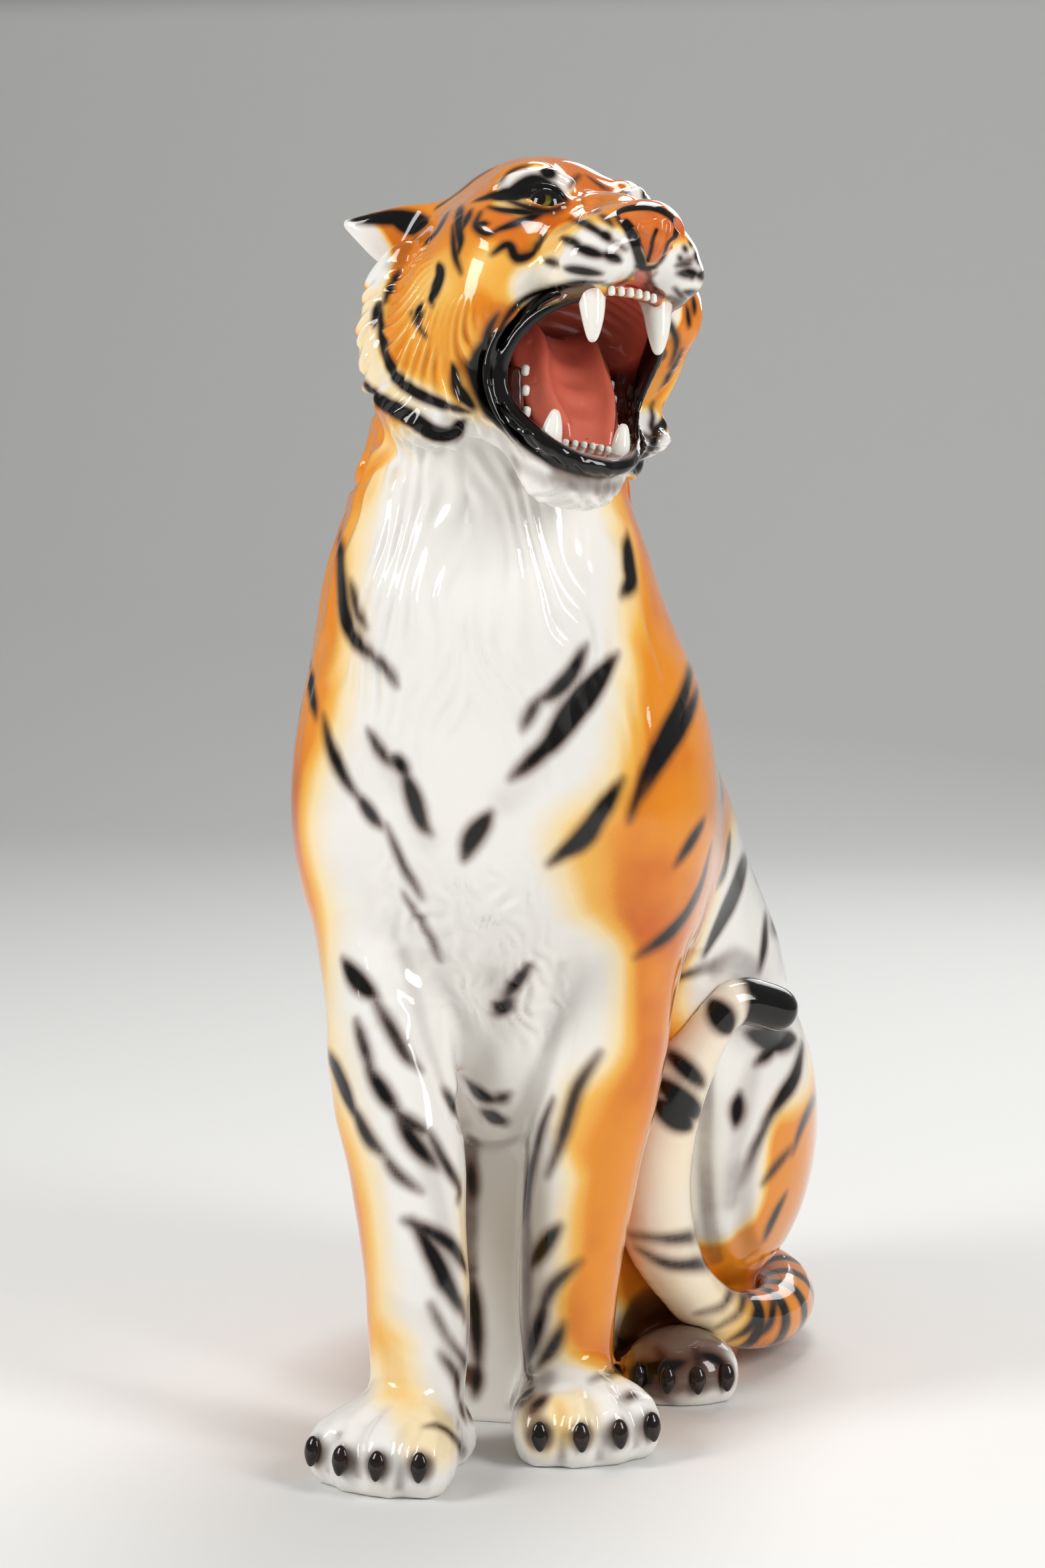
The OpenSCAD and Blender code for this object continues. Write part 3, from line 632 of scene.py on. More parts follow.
# Strokes of paint, in pixels of the picture: half-width in mm, then the path
CHEST_STRIPES = (
    (5, (541, 668), (543, 716)),
    (6.5, (509, 800), (512, 872), (517, 925), (534, 962), (566, 990)),
    (3, (560, 985), (580, 1004), (594, 1028)),
    (3.5, (525, 872), (534, 913), (548, 940)),
    (6, (463, 960), (467, 1029), (474, 1075)),
    (4.5, (485, 1073), (494, 1114), (516, 1165), (540, 1200)),
    (5, (536, 1192), (556, 1221), (574, 1242)),
    (2.6, (579, 1237), (606, 1300), (632, 1345)),
    (2.2, (606, 1342), (640, 1395), (660, 1440)),
    (3.4, (552, 1096), (574, 1131), (590, 1150)),
    (5, (585, 1134), (600, 1146), (612, 1165)),
    (6, (606, 1158), (619, 1194), (632, 1234), (645, 1250)),
    (9, (926, 982), (890, 1030), (858, 1070), (834, 1105), (806, 1140)),
    (5, (836, 1095), (812, 1128), (786, 1152), (766, 1168)),
    (5, (880, 968), (860, 1006), (832, 1038), (806, 1052)),
    (3, (811, 1045), (795, 1072), (785, 1095)),
    (7, (942, 800), (945, 846), (947, 873), (934, 892)),
    (6, (1040, 980), (1028, 1042), (995, 1109), (965, 1172), (945, 1230)),
    (6, (1054, 985), (1044, 1045), (1017, 1100), (987, 1150), (960, 1200)),
    (6, (935, 1168), (904, 1215), (873, 1255), (825, 1296)),
    (4, (905, 1225), (880, 1262), (850, 1284)),
    (6, (736, 1220), (708, 1259), (695, 1292)),
    (5, (1058, 1230), (1034, 1268), (1014, 1298)),
    (6, (1068, 1270), (1048, 1340), (1010, 1395), (955, 1436)),
    (10, (1120, 1285), (1104, 1335), (1084, 1375), (1058, 1430)),
    (6, (1096, 1250), (1088, 1300), (1075, 1330)),
    (5, (1150, 1370), (1148, 1410), (1140, 1455)),
    (4, (795, 1446), (770, 1480), (752, 1500)),
    (7, (760, 1500), (750, 1515)),
    (6, (699, 1620), (721, 1640), (745, 1650)),
    (7, (730, 1670), (750, 1680)),
    (4, (745, 1650), (762, 1640)),
)
FORELEG_STRIPES = (
    (6.5, (514, 1440), (534, 1469), (566, 1498)),
    (3.4, (560, 1496), (588, 1545), (610, 1585), (632, 1605)),
    (6.5, (480, 1500), (487, 1564), (510, 1618), (534, 1676)),
    (5, (530, 1660), (552, 1706), (579, 1734)),
    (3, (574, 1728), (596, 1761), (632, 1788)),
    (3, (534, 1530), (552, 1590), (561, 1618)),
    (5.5, (550, 1598), (577, 1642), (602, 1676)),
    (4, (590, 1664), (619, 1687), (646, 1700)),
    (5.5, (592, 1668), (623, 1716), (656, 1752)),
    (3.6, (640, 1692), (664, 1738), (688, 1780), (686, 1802)),
    (4.5, (668, 1634), (692, 1674)),
    (5, (706, 1740), (709, 1800)),
    (4.5, (606, 1830), (650, 1850), (681, 1872), (700, 1908)),
    (5.5, (618, 1828), (648, 1880), (670, 1924), (698, 1976)),
    (3.4, (648, 1900), (663, 1927), (690, 1954), (698, 1982)),
    (3, (646, 1957), (672, 2005), (694, 2038), (706, 2070)),
    (3, (661, 2030), (683, 2061), (688, 2098)),
    (5, (708, 1906), (714, 1984), (718, 2050)),
    (4, (717, 2045), (713, 2096)),
    (4, (640, 2138), (663, 2143), (681, 2159), (696, 2184)),
    (3.4, (690, 2100), (698, 2130)),
    (3.6, (829, 1650), (811, 1698), (797, 1765), (788, 1830)),
    (4.5, (808, 1710), (797, 1756), (789, 1805)),
    (3.6, (900, 1579), (868, 1629), (854, 1671), (839, 1721), (821, 1763)),
    (5, (840, 1838), (818, 1866), (797, 1900)),
    (3.4, (872, 1892), (829, 1930), (811, 1975)),
    (5, (820, 1950), (805, 1998), (788, 2046)),
    (4, (846, 1985), (830, 2020), (806, 2050)),
    (4.5, (886, 2070), (913, 2061), (944, 2054), (967, 2065), (990, 2080)),
    (4, (924, 2000), (936, 2022), (948, 2040)),
    (3.6, (969, 2090), (998, 2096), (1018, 2112)),
    (3.4, (930, 2092), (958, 2094)),
    (4, (795, 2126), (806, 2108), (821, 2094)),
    (3.4, (762, 2112), (785, 2085)),
)
THIGH_STRIPES = (
    (6, (1205, 1565), (1195, 1612), (1172, 1648), (1143, 1690)),
    (3, (1178, 1640), (1140, 1707), (1114, 1785)),
    (5, (1110, 1640), (1106, 1664), (1103, 1690)),
    (5, (1170, 1560), (1150, 1580), (1132, 1596)),
    (9, (1120, 1548), (1160, 1560), (1195, 1556)),
    (4, (1226, 1640), (1202, 1693), (1190, 1730)),
    (3, (1190, 1720), (1165, 1750), (1146, 1775)),
    (4, (1180, 1790), (1160, 1830), (1148, 1860)),
    (6, (950, 2046), (985, 2052), (1035, 2042)),
    (5, (1045, 2030), (1075, 2040), (1090, 2052)),
    (5, (960, 2075), (985, 2066)),
    (5, (985, 2024), (1008, 2062)),
    (5, (1042, 2022), (1050, 2062)),
    (5, (1078, 2036), (1086, 2072)),
)
TAIL_STRIPES = (
    (9, (1050, 1470), (1066, 1500), (1098, 1548)),
    (6, (998, 1575), (1028, 1602), (1068, 1640)),
    (8, (982, 1616), (1018, 1646), (1062, 1682)),
    (8, (978, 1648), (1018, 1680), (1060, 1702)),
    (6, (945, 1852), (1004, 1858), (1062, 1852)),
    (6, (955, 1872), (1007, 1897), (1076, 1892)),
    (4, (1045, 1970), (1085, 1958), (1100, 1922)),
    (4, (1078, 1990), (1110, 1967), (1116, 1928)),
    (4, (1092, 2012), (1127, 1989), (1138, 1952)),
    (4, (1130, 2010), (1155, 1985), (1162, 1945)),
)
# White sprays, and orange ones where the amount is negative: half-width, soft edge, amount, path
WHITE_SPRAYS = (
    (44, 48, 1, (720, 770), (735, 810)),
    (66, 74, 1, (730, 870), (726, 1000), (690, 1140), (662, 1250)),
    (58, 74, 1, (672, 1300), (690, 1440), (706, 1570)),
    (40, 54, 1, (706, 1665), (712, 1800), (716, 2060)),
    (10, 58, 1, (604, 1470), (612, 1600), (632, 1750), (648, 1900), (654, 2040)),
    (1, 52, 1, (846, 1480), (820, 1620), (808, 1760), (794, 1900), (788, 2020)),
    (58, 30, 1, (530, 2200), (640, 2195), (690, 2150)),
    (44, 30, 1, (850, 2150), (930, 2140)),
    (64, 50, 1, (1140, 1400), (1170, 1480)),
    (26, 26, 1, (1100, 1570), (1085, 1680), (1075, 1800)),
    (50, 30, 1, (990, 2080), (1050, 2080)),
    (3, 24, -0.42, (588, 2020), (590, 2050), (594, 2080)),
    (14, 20, -0.3, (645, 2130), (650, 2150)),
    (10, 16, -0.35, (812, 2120), (818, 2145)),
    (9, 14, -0.3, (866, 2105), (872, 2135)),
    (12, 22, -0.6, (890, 1960), (905, 2020), (925, 2045)),
    (8, 46, -0.55, (890, 1270), (912, 1330)),
    (12, 26, -0.5, (930, 1430), (914, 1560), (890, 1700)),
    (10, 40, 0.9, (866, 1450), (862, 1550)),
)
# Painted shade, sprayed brown into the creases, between the parts, round the toes and into the gap between
# the tail, the foreleg and the hind paw, in the creases partly also the glaze's own airbrushed brown:
# half-width, soft edge, amount, path
SHADE_SPRAYS = (
    (1, 9, 0.34, (606, 1430), (650, 1573), (695, 1689)),
    (1, 9, 0.3, (844, 1450), (829, 1564), (793, 1689)),
    (2, 9, 0.8, (706, 1720), (704, 1900), (703, 2120)),
    (2, 9, 0.75, (790, 1720), (789, 1900), (788, 2100)),
    (1, 5, 0.45, (695, 1700), (720, 1716), (760, 1716), (790, 1700)),
    (2, 12, 0.3, (640, 1740), (680, 1900), (694, 2060)),
    (2, 12, 0.3, (824, 1700), (806, 1860), (796, 2020)),
    (14, 34, 0.1, (745, 1780), (745, 1950), (745, 2100)),
    (1, 5, 0.5, (489, 2208), (489, 2177), (507, 2150)),
    (1, 5, 0.5, (536, 2214), (532, 2168), (547, 2132)),
    (1, 5, 0.5, (599, 2235), (604, 2186), (614, 2150)),
    (1, 5, 0.5, (842, 2194), (847, 2150), (852, 2110)),
    (1, 5, 0.5, (900, 2190), (902, 2140), (895, 2101)),
    (1, 5, 0.5, (956, 2170), (954, 2132), (940, 2101)),
    (4, 12, 0.5, (800, 2140), (800, 2100), (815, 2070)),
    (3, 14, 0.4, (1000, 2140), (1010, 2110), (990, 2070)),
    (14, 20, 1.0, (960, 1980), (985, 2010), (1010, 2030)),
    (10, 24, 0.9, (990, 1965), (1050, 2000)),
    (2, 9, 0.6, (1062, 1560), (1058, 1680), (1060, 1800), (1075, 1890)),
    (2, 16, 0.35, (1116, 1760), (1114, 1850), (1125, 1882)),
    (3, 14, 0.5, (1075, 1450), (1100, 1440), (1130, 1452)),
    (2, 14, 0.35, (1130, 1600), (1100, 1740), (1096, 1800)),
    (10, 16, 0.7, (1000, 2052), (1060, 2046)),
    (2, 16, 0.25, (560, 1110), (600, 1180), (640, 1260)),
    (2, 18, 0.25, (820, 1120), (790, 1170), (760, 1200)),
    (2, 16, 0.22, (512, 830), (520, 920), (560, 990)),
    (2, 16, 0.25, (740, 1460), (760, 1520), (720, 1620)),
)
# Creases and ridges of the body: radius and height in mm, then the path
BODY_RELIEF = (
    (18, -3.0, (596, 1408), (650, 1573), (695, 1689)),
    (18, -3.0, (846, 1430), (829, 1564), (793, 1689)),
    (6, -2.0, (690, 1694), (718, 1716), (755, 1718), (795, 1694)),
    (26, 2.5, (740, 1330), (733, 1500), (738, 1650)),
    (10, -5.5, (489, 2214), (489, 2177), (510, 2145)),
    (10, -5.5, (536, 2222), (532, 2168), (547, 2132), (569, 2110)),
    (10, -5.5, (599, 2240), (604, 2186), (614, 2150), (632, 2130)),
    (10, -5.5, (842, 2196), (847, 2150), (852, 2110), (850, 2085)),
    (10, -5.5, (900, 2192), (902, 2140), (895, 2101), (885, 2078)),
    (9, -5.0, (956, 2172), (954, 2132), (940, 2101), (920, 2070)),
    (12, -4.0, (1124, 1730), (1116, 1793), (1114, 1850), (1128, 1885)),
    (14, 2.5, (1085, 1600), (1080, 1720), (1085, 1840)),
    (20, -2.5, (560, 1960), (640, 2010), (690, 2010)),
)


# The closed form of the figure, which is made once
CORE = {}


def core():
    """The closed outer form of the figure: a tree for rays, and a mesh that fills the hollow castings."""
    if not CORE:
        skin = Skin("core", copied(BODY_NODES + ("head_shell",) + PLUGS), CORE_GRAIN)
        skin.blur(6)
        CORE["tree"] = skin.tree()
        skin.push(np.full(len(skin.points), -CORE_INSET))
        skin.write()
        CORE["mesh"] = skin.piece.data
        bpy.data.objects.remove(skin.piece)
    return CORE


def filled(nodes):
    """A bmesh of copies of CAD nodes whose hollows are filled."""
    bm = copied(nodes)
    bm.from_mesh(core()["mesh"])
    return bm


def cut_off(bm, place, way):
    """Cuts off what lies past a plane through a place, and closes the cut with flat faces."""
    geometry = bm.verts[:] + bm.edges[:] + bm.faces[:]
    cut = bmesh.ops.bisect_plane(bm, geom=geometry, plane_co=place, plane_no=way, clear_outer=True)
    rim = [e for e in cut["geom_cut"] if isinstance(e, bmesh.types.BMEdge)]
    bmesh.ops.edgeloop_fill(bm, edges=rim)
    for edge in rim:
        edge.smooth = False


def above(height):
    """The plane that cuts off what lies below a height."""
    return (0.0, 0.0, height), (0.0, 0.0, -1.0)


def below(height):
    """The plane that cuts off what lies above a height."""
    return (0.0, 0.0, height), (0.0, 0.0, 1.0)


def slice_of(skin, name, *planes):
    """A new piece of what some planes leave of a skin."""
    skin.write()
    bm = bmesh.new()
    bm.from_mesh(skin.piece.data)
    for place, way in planes:
        cut_off(bm, place, way)
    return add_object(name, bm)


def strands(points, across, wave, seed):
    """Height from -1 to 1 of combed strands whose crests lie a wave apart across the comb's direction."""
    height = np.empty(len(points))
    for k, (point, place) in enumerate(zip(points / MM, across / MM)):
        bend = noise.noise(Vector(point) / STRAND_BEND + Vector((seed, 0, 0)))
        lift = noise.noise(Vector(point) / STRAND_LIFT + Vector((0, seed, 0)))
        height[k] = math.sin(2 * math.pi * (place / wave + 1.3 * bend)) * (0.55 + 0.9 * lift)
    return height


def lay_strands(skin, share, across, wave, seed, tone, fineness=1.0):
    """Heights from -1 to 1 of strands of fur, where a share of them is laid.

    across is each corner's place across the strands, and tone how strongly the paint shows them."""
    near = np.flatnonzero(share > FAINT)
    comb = share[near] * strands(skin.points[near] * fineness, across[near], wave, seed)
    skin.comb[near] += tone * comb
    heights = np.zeros(len(share))
    heights[near] = comb
    return heights


# Heights between which the fur of the chest, and that of its keel, rises and fades
CHEST_FUR = (0.40, 0.56, 0.66, 0.70)
KEEL_FUR = (0.255, 0.29, 0.37, 0.43)
# How far forwards a corner faces where that fur starts and where it is whole
FORWARDS = (0.1, 0.5)
# Where the middle of the chest and the keel of the lower chest stand across the figure
CHEST_AT = -0.02
KEEL_AT = -0.036
# How far from the keel its fur ends, and where it is whole
KEEL_HALF = (0.075, 0.045)
# Height at which the chest's strands part, and how they spread from there
CHEST_PARTING = 0.5
CHEST_SPREAD = 0.25
# How the strands of the keel spread from its middle, and how they lean
KEEL_SPREAD = 0.5
KEEL_LEAN = 0.3
# Distances in mm between the crests of the fur's strands
CHEST_WAVE = 13.0
KEEL_WAVE = 14.0
# How much finer their bends are than STRAND_BEND
CHEST_FINENESS = (1, 1, 0.6)
KEEL_FINENESS = 1.6
# How strongly the paint shows the strands, and the share of the relief that the keel's have
CHEST_TONE = 0.4
KEEL_TONE = 0.3
KEEL_RELIEF = 0.8
# Seeds of the strands' bends
CHEST_SEED = 3.0
KEEL_SEED = 5.0


def comb_chest(skin, relief):
    """Waves of fur on the throat, the chest and its keel."""
    facing = skin.normals()
    x, _, z = skin.points.T
    front = smooth_step(*FORWARDS, -facing[:, 1])
    share = front * plateau(*CHEST_FUR, z)
    across = x + CHEST_SPREAD * (z - CHEST_PARTING) * np.sign(x - CHEST_AT)
    chest = lay_strands(skin, share, across, CHEST_WAVE, CHEST_SEED, CHEST_TONE, CHEST_FINENESS)
    aside = np.abs(x - KEEL_AT)
    share = front * plateau(*KEEL_FUR, z) * smooth_step(*KEEL_HALF, aside)
    across = x + KEEL_SPREAD * aside + KEEL_LEAN * z
    keel = lay_strands(skin, share, across, KEEL_WAVE, KEEL_SEED, KEEL_TONE, KEEL_FINENESS)
    skin.push(relief * chest + KEEL_RELIEF * relief * keel, facing)


# Rounds of blur of the body, and the shares of it that the legs and the paws are spared
BODY_BLUR = 70
LEGS_SPARED = 0.7
PAWS_SPARED = 0.9
# Heights between which the legs and the paws end, and places between which the front half starts
LEGS_END = (0.26, 0.36)
PAWS_END = (0.05, 0.1)
FRONT_HALF = (-0.03, 0.03)


def smooth_body(skin):
    """Takes the facets out of the trunk, and less so out of the legs and paws."""
    height = skin.points[:, 2]
    front = smooth_step(*FRONT_HALF, -skin.points[:, 1])
    legs = (1 - smooth_step(*LEGS_END, height)) * front
    paws = 1 - smooth_step(*PAWS_END, height)
    skin.blur(BODY_BLUR, 0.5 * (1 - LEGS_SPARED * legs) * (1 - PAWS_SPARED * paws))


def carve(skin, strokes, paths_of):
    """Presses ridges and creases into a skin. paths_of turns pixels into paths on the skin's tree."""
    tree = skin.tree()
    facing = skin.normals()
    field = np.zeros(len(skin.points))
    for radius, height, *pixels in strokes:
        for path in paths_of(tree, pixels):
            if len(path) < 2:
                continue
            numbers, gap, along = near_path(skin.points, path, radius * MM)
            swell = np.sin(np.pi * along.clip(0.05, 0.95)) ** 0.5
            field[numbers] += height * MM * swell * (1 - (gap / (radius * MM)) ** 2) ** 2
    skin.push(field, facing)


class TIGER_OT_body(bpy.types.Operator):
    """Trunk, legs, haunches and paws as one skin, with the coat's relief and its paint."""

    bl_idname = "tiger.body"
    bl_label = "Body"

    def execute(self, context):
        sizes = context.scene.tiger_sizes
        skin = Skin("body", filled(BODY_NODES + ("head_shell",)), sizes.body_grain)
        smooth_body(skin)
        carve(skin, BODY_RELIEF, lambda tree, pixels: [seen(tree, pixels)])
        comb_chest(skin, sizes.coat_relief)
        paint = Paint(skin)
        paint_coat(paint)
        paint.keep()
        glaze = striped_glaze(context.scene.tiger_colours)
        trunk = slice_of(skin, "trunk_skin", above(WAIST), below(COLLAR))
        finish_piece(trunk, glaze, "striped_glaze", "torso_shell")
        legs = slice_of(skin, "legs_skin", above(WRIST), below(WAIST))
        finish_piece(legs, glaze, "striped_glaze", *LEG_NODES)
        feet = slice_of(skin, "feet_skin", below(WRIST))
        finish_piece(feet, glaze, "striped_glaze", *FOOT_NODES)
        bpy.data.objects.remove(skin.piece)
        return {"FINISHED"}


# Half-width, soft edge and amount of the brown painted shade round each claw, and of the white on the hidden
# paw
CLAW_SHADE = (5, 12, 0.85)
HIDDEN_PAW_WHITE = (34, 30, 1.0)
# Stripes on the hidden sides of the body: seed of the draws, heights in mm, and points per stripe
BACK_SEED = 11
BACK_HEIGHTS = range(655, 60, -44)
BACK_POINTS = 5
# Least value of a draw and the most that is added: start and reach as angles from the back, then drop and
# half-width in mm
BACK_START = (8, 10)
BACK_REACH = (80, 45)
BACK_DROP = (50, 60)
BACK_HALF_WIDTH = (5.5, 2.5)
# How far a stripe sways in mm, and the power of its length by which it drops
BACK_SWAY = 12
BACK_BOW = 1.4


def paint_coat(paint):
    """Sprays the white and the brown painted shade, then the stripes, on a skin of the coat."""
    tree = core()["tree"]

    def facing(pixels):
        return [seen(tree, pixels)]

    paint.spray_all(paint.white, WHITE_SPRAYS, facing)
    # The brown painted shade of the creases and of the gaps between the parts
    paint.spray_all(paint.shade, SHADE_SPRAYS, facing)
    paint.brush_all(CHEST_STRIPES + FORELEG_STRIPES + THIGH_STRIPES, facing)
    # Brown painted shade round each claw, where it sinks into the paw
    for node in CLAWS:
        for points in islands(node):
            paint.spray(paint.shade, [points.mean(0)], *CLAW_SHADE)
    hidden_paw = np.concatenate(islands("right_hind_paw"))
    paint.spray(paint.white, [hidden_paw.mean(0)], *HIDDEN_PAW_WHITE)
    paint_back(paint, tree)


def at_random(draw, least, more):
    """A random value from a least one up to more above it."""
    return least + more * draw.random()


def paint_back(paint, tree):
    """Brushes stripes on the sides that the camera doesn't see."""
    draw = np.random.default_rng(BACK_SEED)
    for side in (-1, 1):
        for height in BACK_HEIGHTS:
            start = at_random(draw, *BACK_START)
            drop = at_random(draw, *BACK_DROP)
            reach = at_random(draw, *BACK_REACH)
            turns = []
            for share in np.linspace(0, 1, BACK_POINTS):
                sway = BACK_SWAY * draw.normal()
                turns.append((side * (start + reach * share), height + sway - drop * share ** BACK_BOW))
            paint.brush(round_trunk(tree, turns), at_random(draw, *BACK_HALF_WIDTH))


# The head, in its own frame and in mm: the right side, which is mirrored
MOUTH_AT = np.array((0.0, -56.0, -80.0))
MOUTH_WAY = np.array((0.0, -0.837, -0.547))
MOUTH_UP = np.array((0.0, -0.547, 0.837))
EYE_AT = np.array((-33.0, -65.0, 23.0))
EYE_RADIUS = 13.0
EYE_ALONG = np.array((-0.842, 0.491, 0.224))
EYE_UP = np.array((0.198, -0.116, 0.973))
EYE_WAY = np.array((-0.504, -0.863, 0.0))
IRIS_AT = (5.3, -1.2)
# Inner and outer end of the slit between the lids, and its height above and below the line between them
EYE_SLIT = (-12.0, 22.0, 7.5, 8.0)
# How far that line lies above the eyeball's middle
SLIT_UP = 1.6
# The lids: their middle along the slit, their half sizes along and across it, and how far back they reach
LIDS_AT = 4.0
LIDS_HALF = (24.0, 16.0)
LIDS_BACK = -2.0
# How far inside the slit the skin starts to sink, and has sunk
LID_EDGE = (-0.4, 1.4)
# How far the skin sinks into the eyeball, and in the slit's outer corner
LIDS_SINK = 2.2
CORNER_SINK = 1.5
# Places along the slit between which that corner starts
BALL_END = (10.0, 14.0)

# Balls of clay that fill the castings' form out: centre, half sizes
SKULL = ((0, 8, 45), (54, 72, 40))
FAR_CHEEK = ((70, -56, -26), (18, 20, 28))
FAR_RUFF = ((74, -13, -104), (14, 20, 24))
RUFF_FULLNESS = ((-66, -8, -92), (14, 22, 20))
HEAD_BASE_GRAIN = 0.0029
# Where the head's skin is cut into a face and a ruff
FACE_CUT = np.array((0.0, 16.0, 0.0))
# How far below the collar the head's form reaches, and its rounds of blur
COLLAR_LAP = 0.03
HEAD_BLUR = 44
JAW_BLUR = 8
# Where the ears start and are whole, sideways and upwards, and the share of the blur that they are spared
EAR_SIDE = (58.0, 72.0)
EAR_UP = (14.0, 30.0)
EARS_SPARED = 0.93
# How near the sides of the lower jaw come to the mouth's lining
JAW_WALL = 3.5
# Where those sides start and are whole downwards and sideways, and start and end backwards
JAW_DOWN = (-98.0, -122.0)
JAW_SIDE = (24.0, 40.0)
JAW_BACK = (-50.0, -38.0, -10.0, 14.0)
# Balls of clay: centre, half sizes
HEAD_MOUNDS = (
    ((-28, -104, -28), (23, 24, 16)),
    ((-31, -94, -34), (17, 20, 12)),
    ((-33, -65, 23), (16.5, 15.2, 15.2)),
)
# Ropes of clay: radius at the start and at the end, then the path
HEAD_ROPES = (
    (14, 12, (0, -60, 27), (0, -84, 18), (0, -102, 10)),
    (4.5, 4, (-20, -74, 37), (-34, -71, 41), (-48, -60, 42), (-58, -46, 38)),
    (11, 8, (-50, -68, -10), (-66, -52, -10), (-78, -30, -5)),
)
# Edge of the ruff from the ear to the jaw, the number of locks of fur along it and the seed of their draws
RUFF_EDGE = (
    (-88, 52, 8), (-95, 55, -28), (-96, 50, -55), (-93, 40, -76),
    (-87, 24, -93), (-76, 12, -104), (-62, 6, -108),
)
RUFF_LOCKS = 17
LOCK_SEED = 4
# Directions of the first and of the last lock
LOCK_WAYS = np.array(((-0.15, 0.75, -0.4), (-0.15, 0.05, -1.0)))
# How far before the edge a lock's root and its middle lie, and how far inside the root is set
LOCK_ROOT = 26
LOCK_MIDDLE = 10
LOCK_INSET = (6, 0, 0)
# Least length past the edge and the most that is added, and the radii at the root and at the tip
LOCK_TIP = (1, 6)
LOCK_RADII = (9.0, 4.5)


def mirrored(path):
    """A path of the head's frame on the other side."""
    return np.asarray(path, float) * (-1, 1, 1)


def both_sides(path):
    """A path of the head's frame, and the same on the other side."""
    return np.asarray(path, float), mirrored(path)


class Clay:
    """Balls of clay, in the head's frame, that are added to a form before its skin is made."""

    def __init__(self):
        bm = bmesh.new()
        bmesh.ops.create_icosphere(bm, subdivisions=3, radius=1.0)
        self.unit = np.array([tuple(corner.co) for corner in bm.verts])
        self.faces = np.array([[corner.index for corner in face.verts] for face in bm.faces])
        bm.free()
        self.corners = []

    def ball(self, centre, half_sizes):
        """An ellipsoid."""
        self.corners.append(np.asarray(centre) + self.unit * half_sizes)

    def rope(self, path, first, last=None):
        """A rope with a radius at its start, and another at its end if that is given."""
        path = curve_through(path, 8)
        for spot, radius in zip(path, np.linspace(first, last or first, len(path))):
            self.ball(spot, radius)

    def add_to(self, bm):
        """Adds the clay to a bmesh."""
        faces = [self.faces + k * len(self.unit) for k in range(len(self.corners))]
        mesh = bpy.data.meshes.new("clay")
        mesh.from_pydata(from_head(np.concatenate(self.corners)), [], np.concatenate(faces))
        bm.from_mesh(mesh)
        bpy.data.meshes.remove(mesh)


# Angle between the points of the mouth's edge, and the angle to each side and the depth in mm of which
# each is a mean
RIM_STEP = 12
RIM_HALF = 9
RIM_DEEP = 6


def mouth_rim():
    """The edge of the mouth's lining in the head's frame, round its right side and then its left."""
    spots = to_head(corners_of(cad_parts["mouth_lining"].data)) - MOUTH_AT
    turn = np.degrees(np.arctan2(spots[:, 0], spots @ MOUTH_UP))
    out = spots @ MOUTH_WAY
    rim = []
    for angle in range(-180, 181, RIM_STEP):
        close = np.flatnonzero(np.abs((turn - angle + 180) % 360 - 180) < RIM_HALF)
        best = close[out[close] > out[close].max() - RIM_DEEP]
        rim.append(spots[best].mean(0))
    rim = np.array(rim)
    rim = 0.5 * (rim + mirrored(rim[::-1]))
    for k in range(2):
        rim[1:-1] = 0.5 * rim[1:-1] + 0.25 * (rim[:-2] + rim[2:])
        rim[0] = rim[-1] = 0.5 * rim[0] + 0.25 * (rim[1] + rim[-2])
    return rim + MOUTH_AT


def mouth_turn(points):
    """Angle of points round the mouth, in degrees: 0 under the nose, 180 under the chin."""
    spots = np.asarray(points, float) - MOUTH_AT
    return np.abs(np.degrees(np.arctan2(spots[..., 0], spots @ MOUTH_UP)))


def in_mouth_plane(points):
    """Points moved along the mouth's direction into one plane."""
    spots = np.asarray(points, float) - MOUTH_AT
    return spots - (spots @ MOUTH_WAY)[..., None] * MOUTH_WAY


# How far the corners of the open mouth are drawn back in mm, at what angle round the mouth, over what
# angle to each side, and how far from the mouth's edge
CORNER_BACK = 13.0
CORNER_TURN = 98.0
CORNER_SPREAD = 34.0
CORNER_REACH = 20.0
# How far the far corner also lies towards the middle, and where the far side starts and is whole
FAR_CORNER_IN = 9.0
FAR_SIDE = (0.0, 20.0)
# How far the skin keeps behind the mouth's lining, and where that starts and is whole: outside the
# mouth's edge and behind it
MOUTH_ROOM = 11.0
ROOM_OUTSIDE = (-1.0, -5.0)
ROOM_BEHIND = (3.0, 9.0)
# How far from its edge the mouth reaches, and how deep it is where it starts to end and where it ends
MOUTH_REACH = 70.0
MOUTH_DEPTH = (70.0, 80.0)
# How far back the form of the CAD's tongue is taken, so that the tongue covers it, and where it lies
TONGUE_ROOM = 18.0
TONGUE_OUTSIDE = (-7.0, -11.0)
TONGUE_BEHIND = (-20.0, -12.0, 20.0, 30.0)


def drawn_back(points):
    """Points of the head's frame after the corners of the open mouth have been drawn back."""
    local = np.array(points, float)
    numbers, gap, _ = near_path(local, curve_through(mouth_rim(), 4), 3 * CORNER_REACH)
    spots = local[numbers]
    aside = (mouth_turn(spots) - CORNER_TURN) / CORNER_SPREAD
    share = np.exp(-((gap / CORNER_REACH) ** 2) - aside ** 2)
    local[numbers, 0] -= share * FAR_CORNER_IN * smooth_step(*FAR_SIDE, spots[:, 0])
    local[numbers, 1] += share * CORNER_BACK
    return local


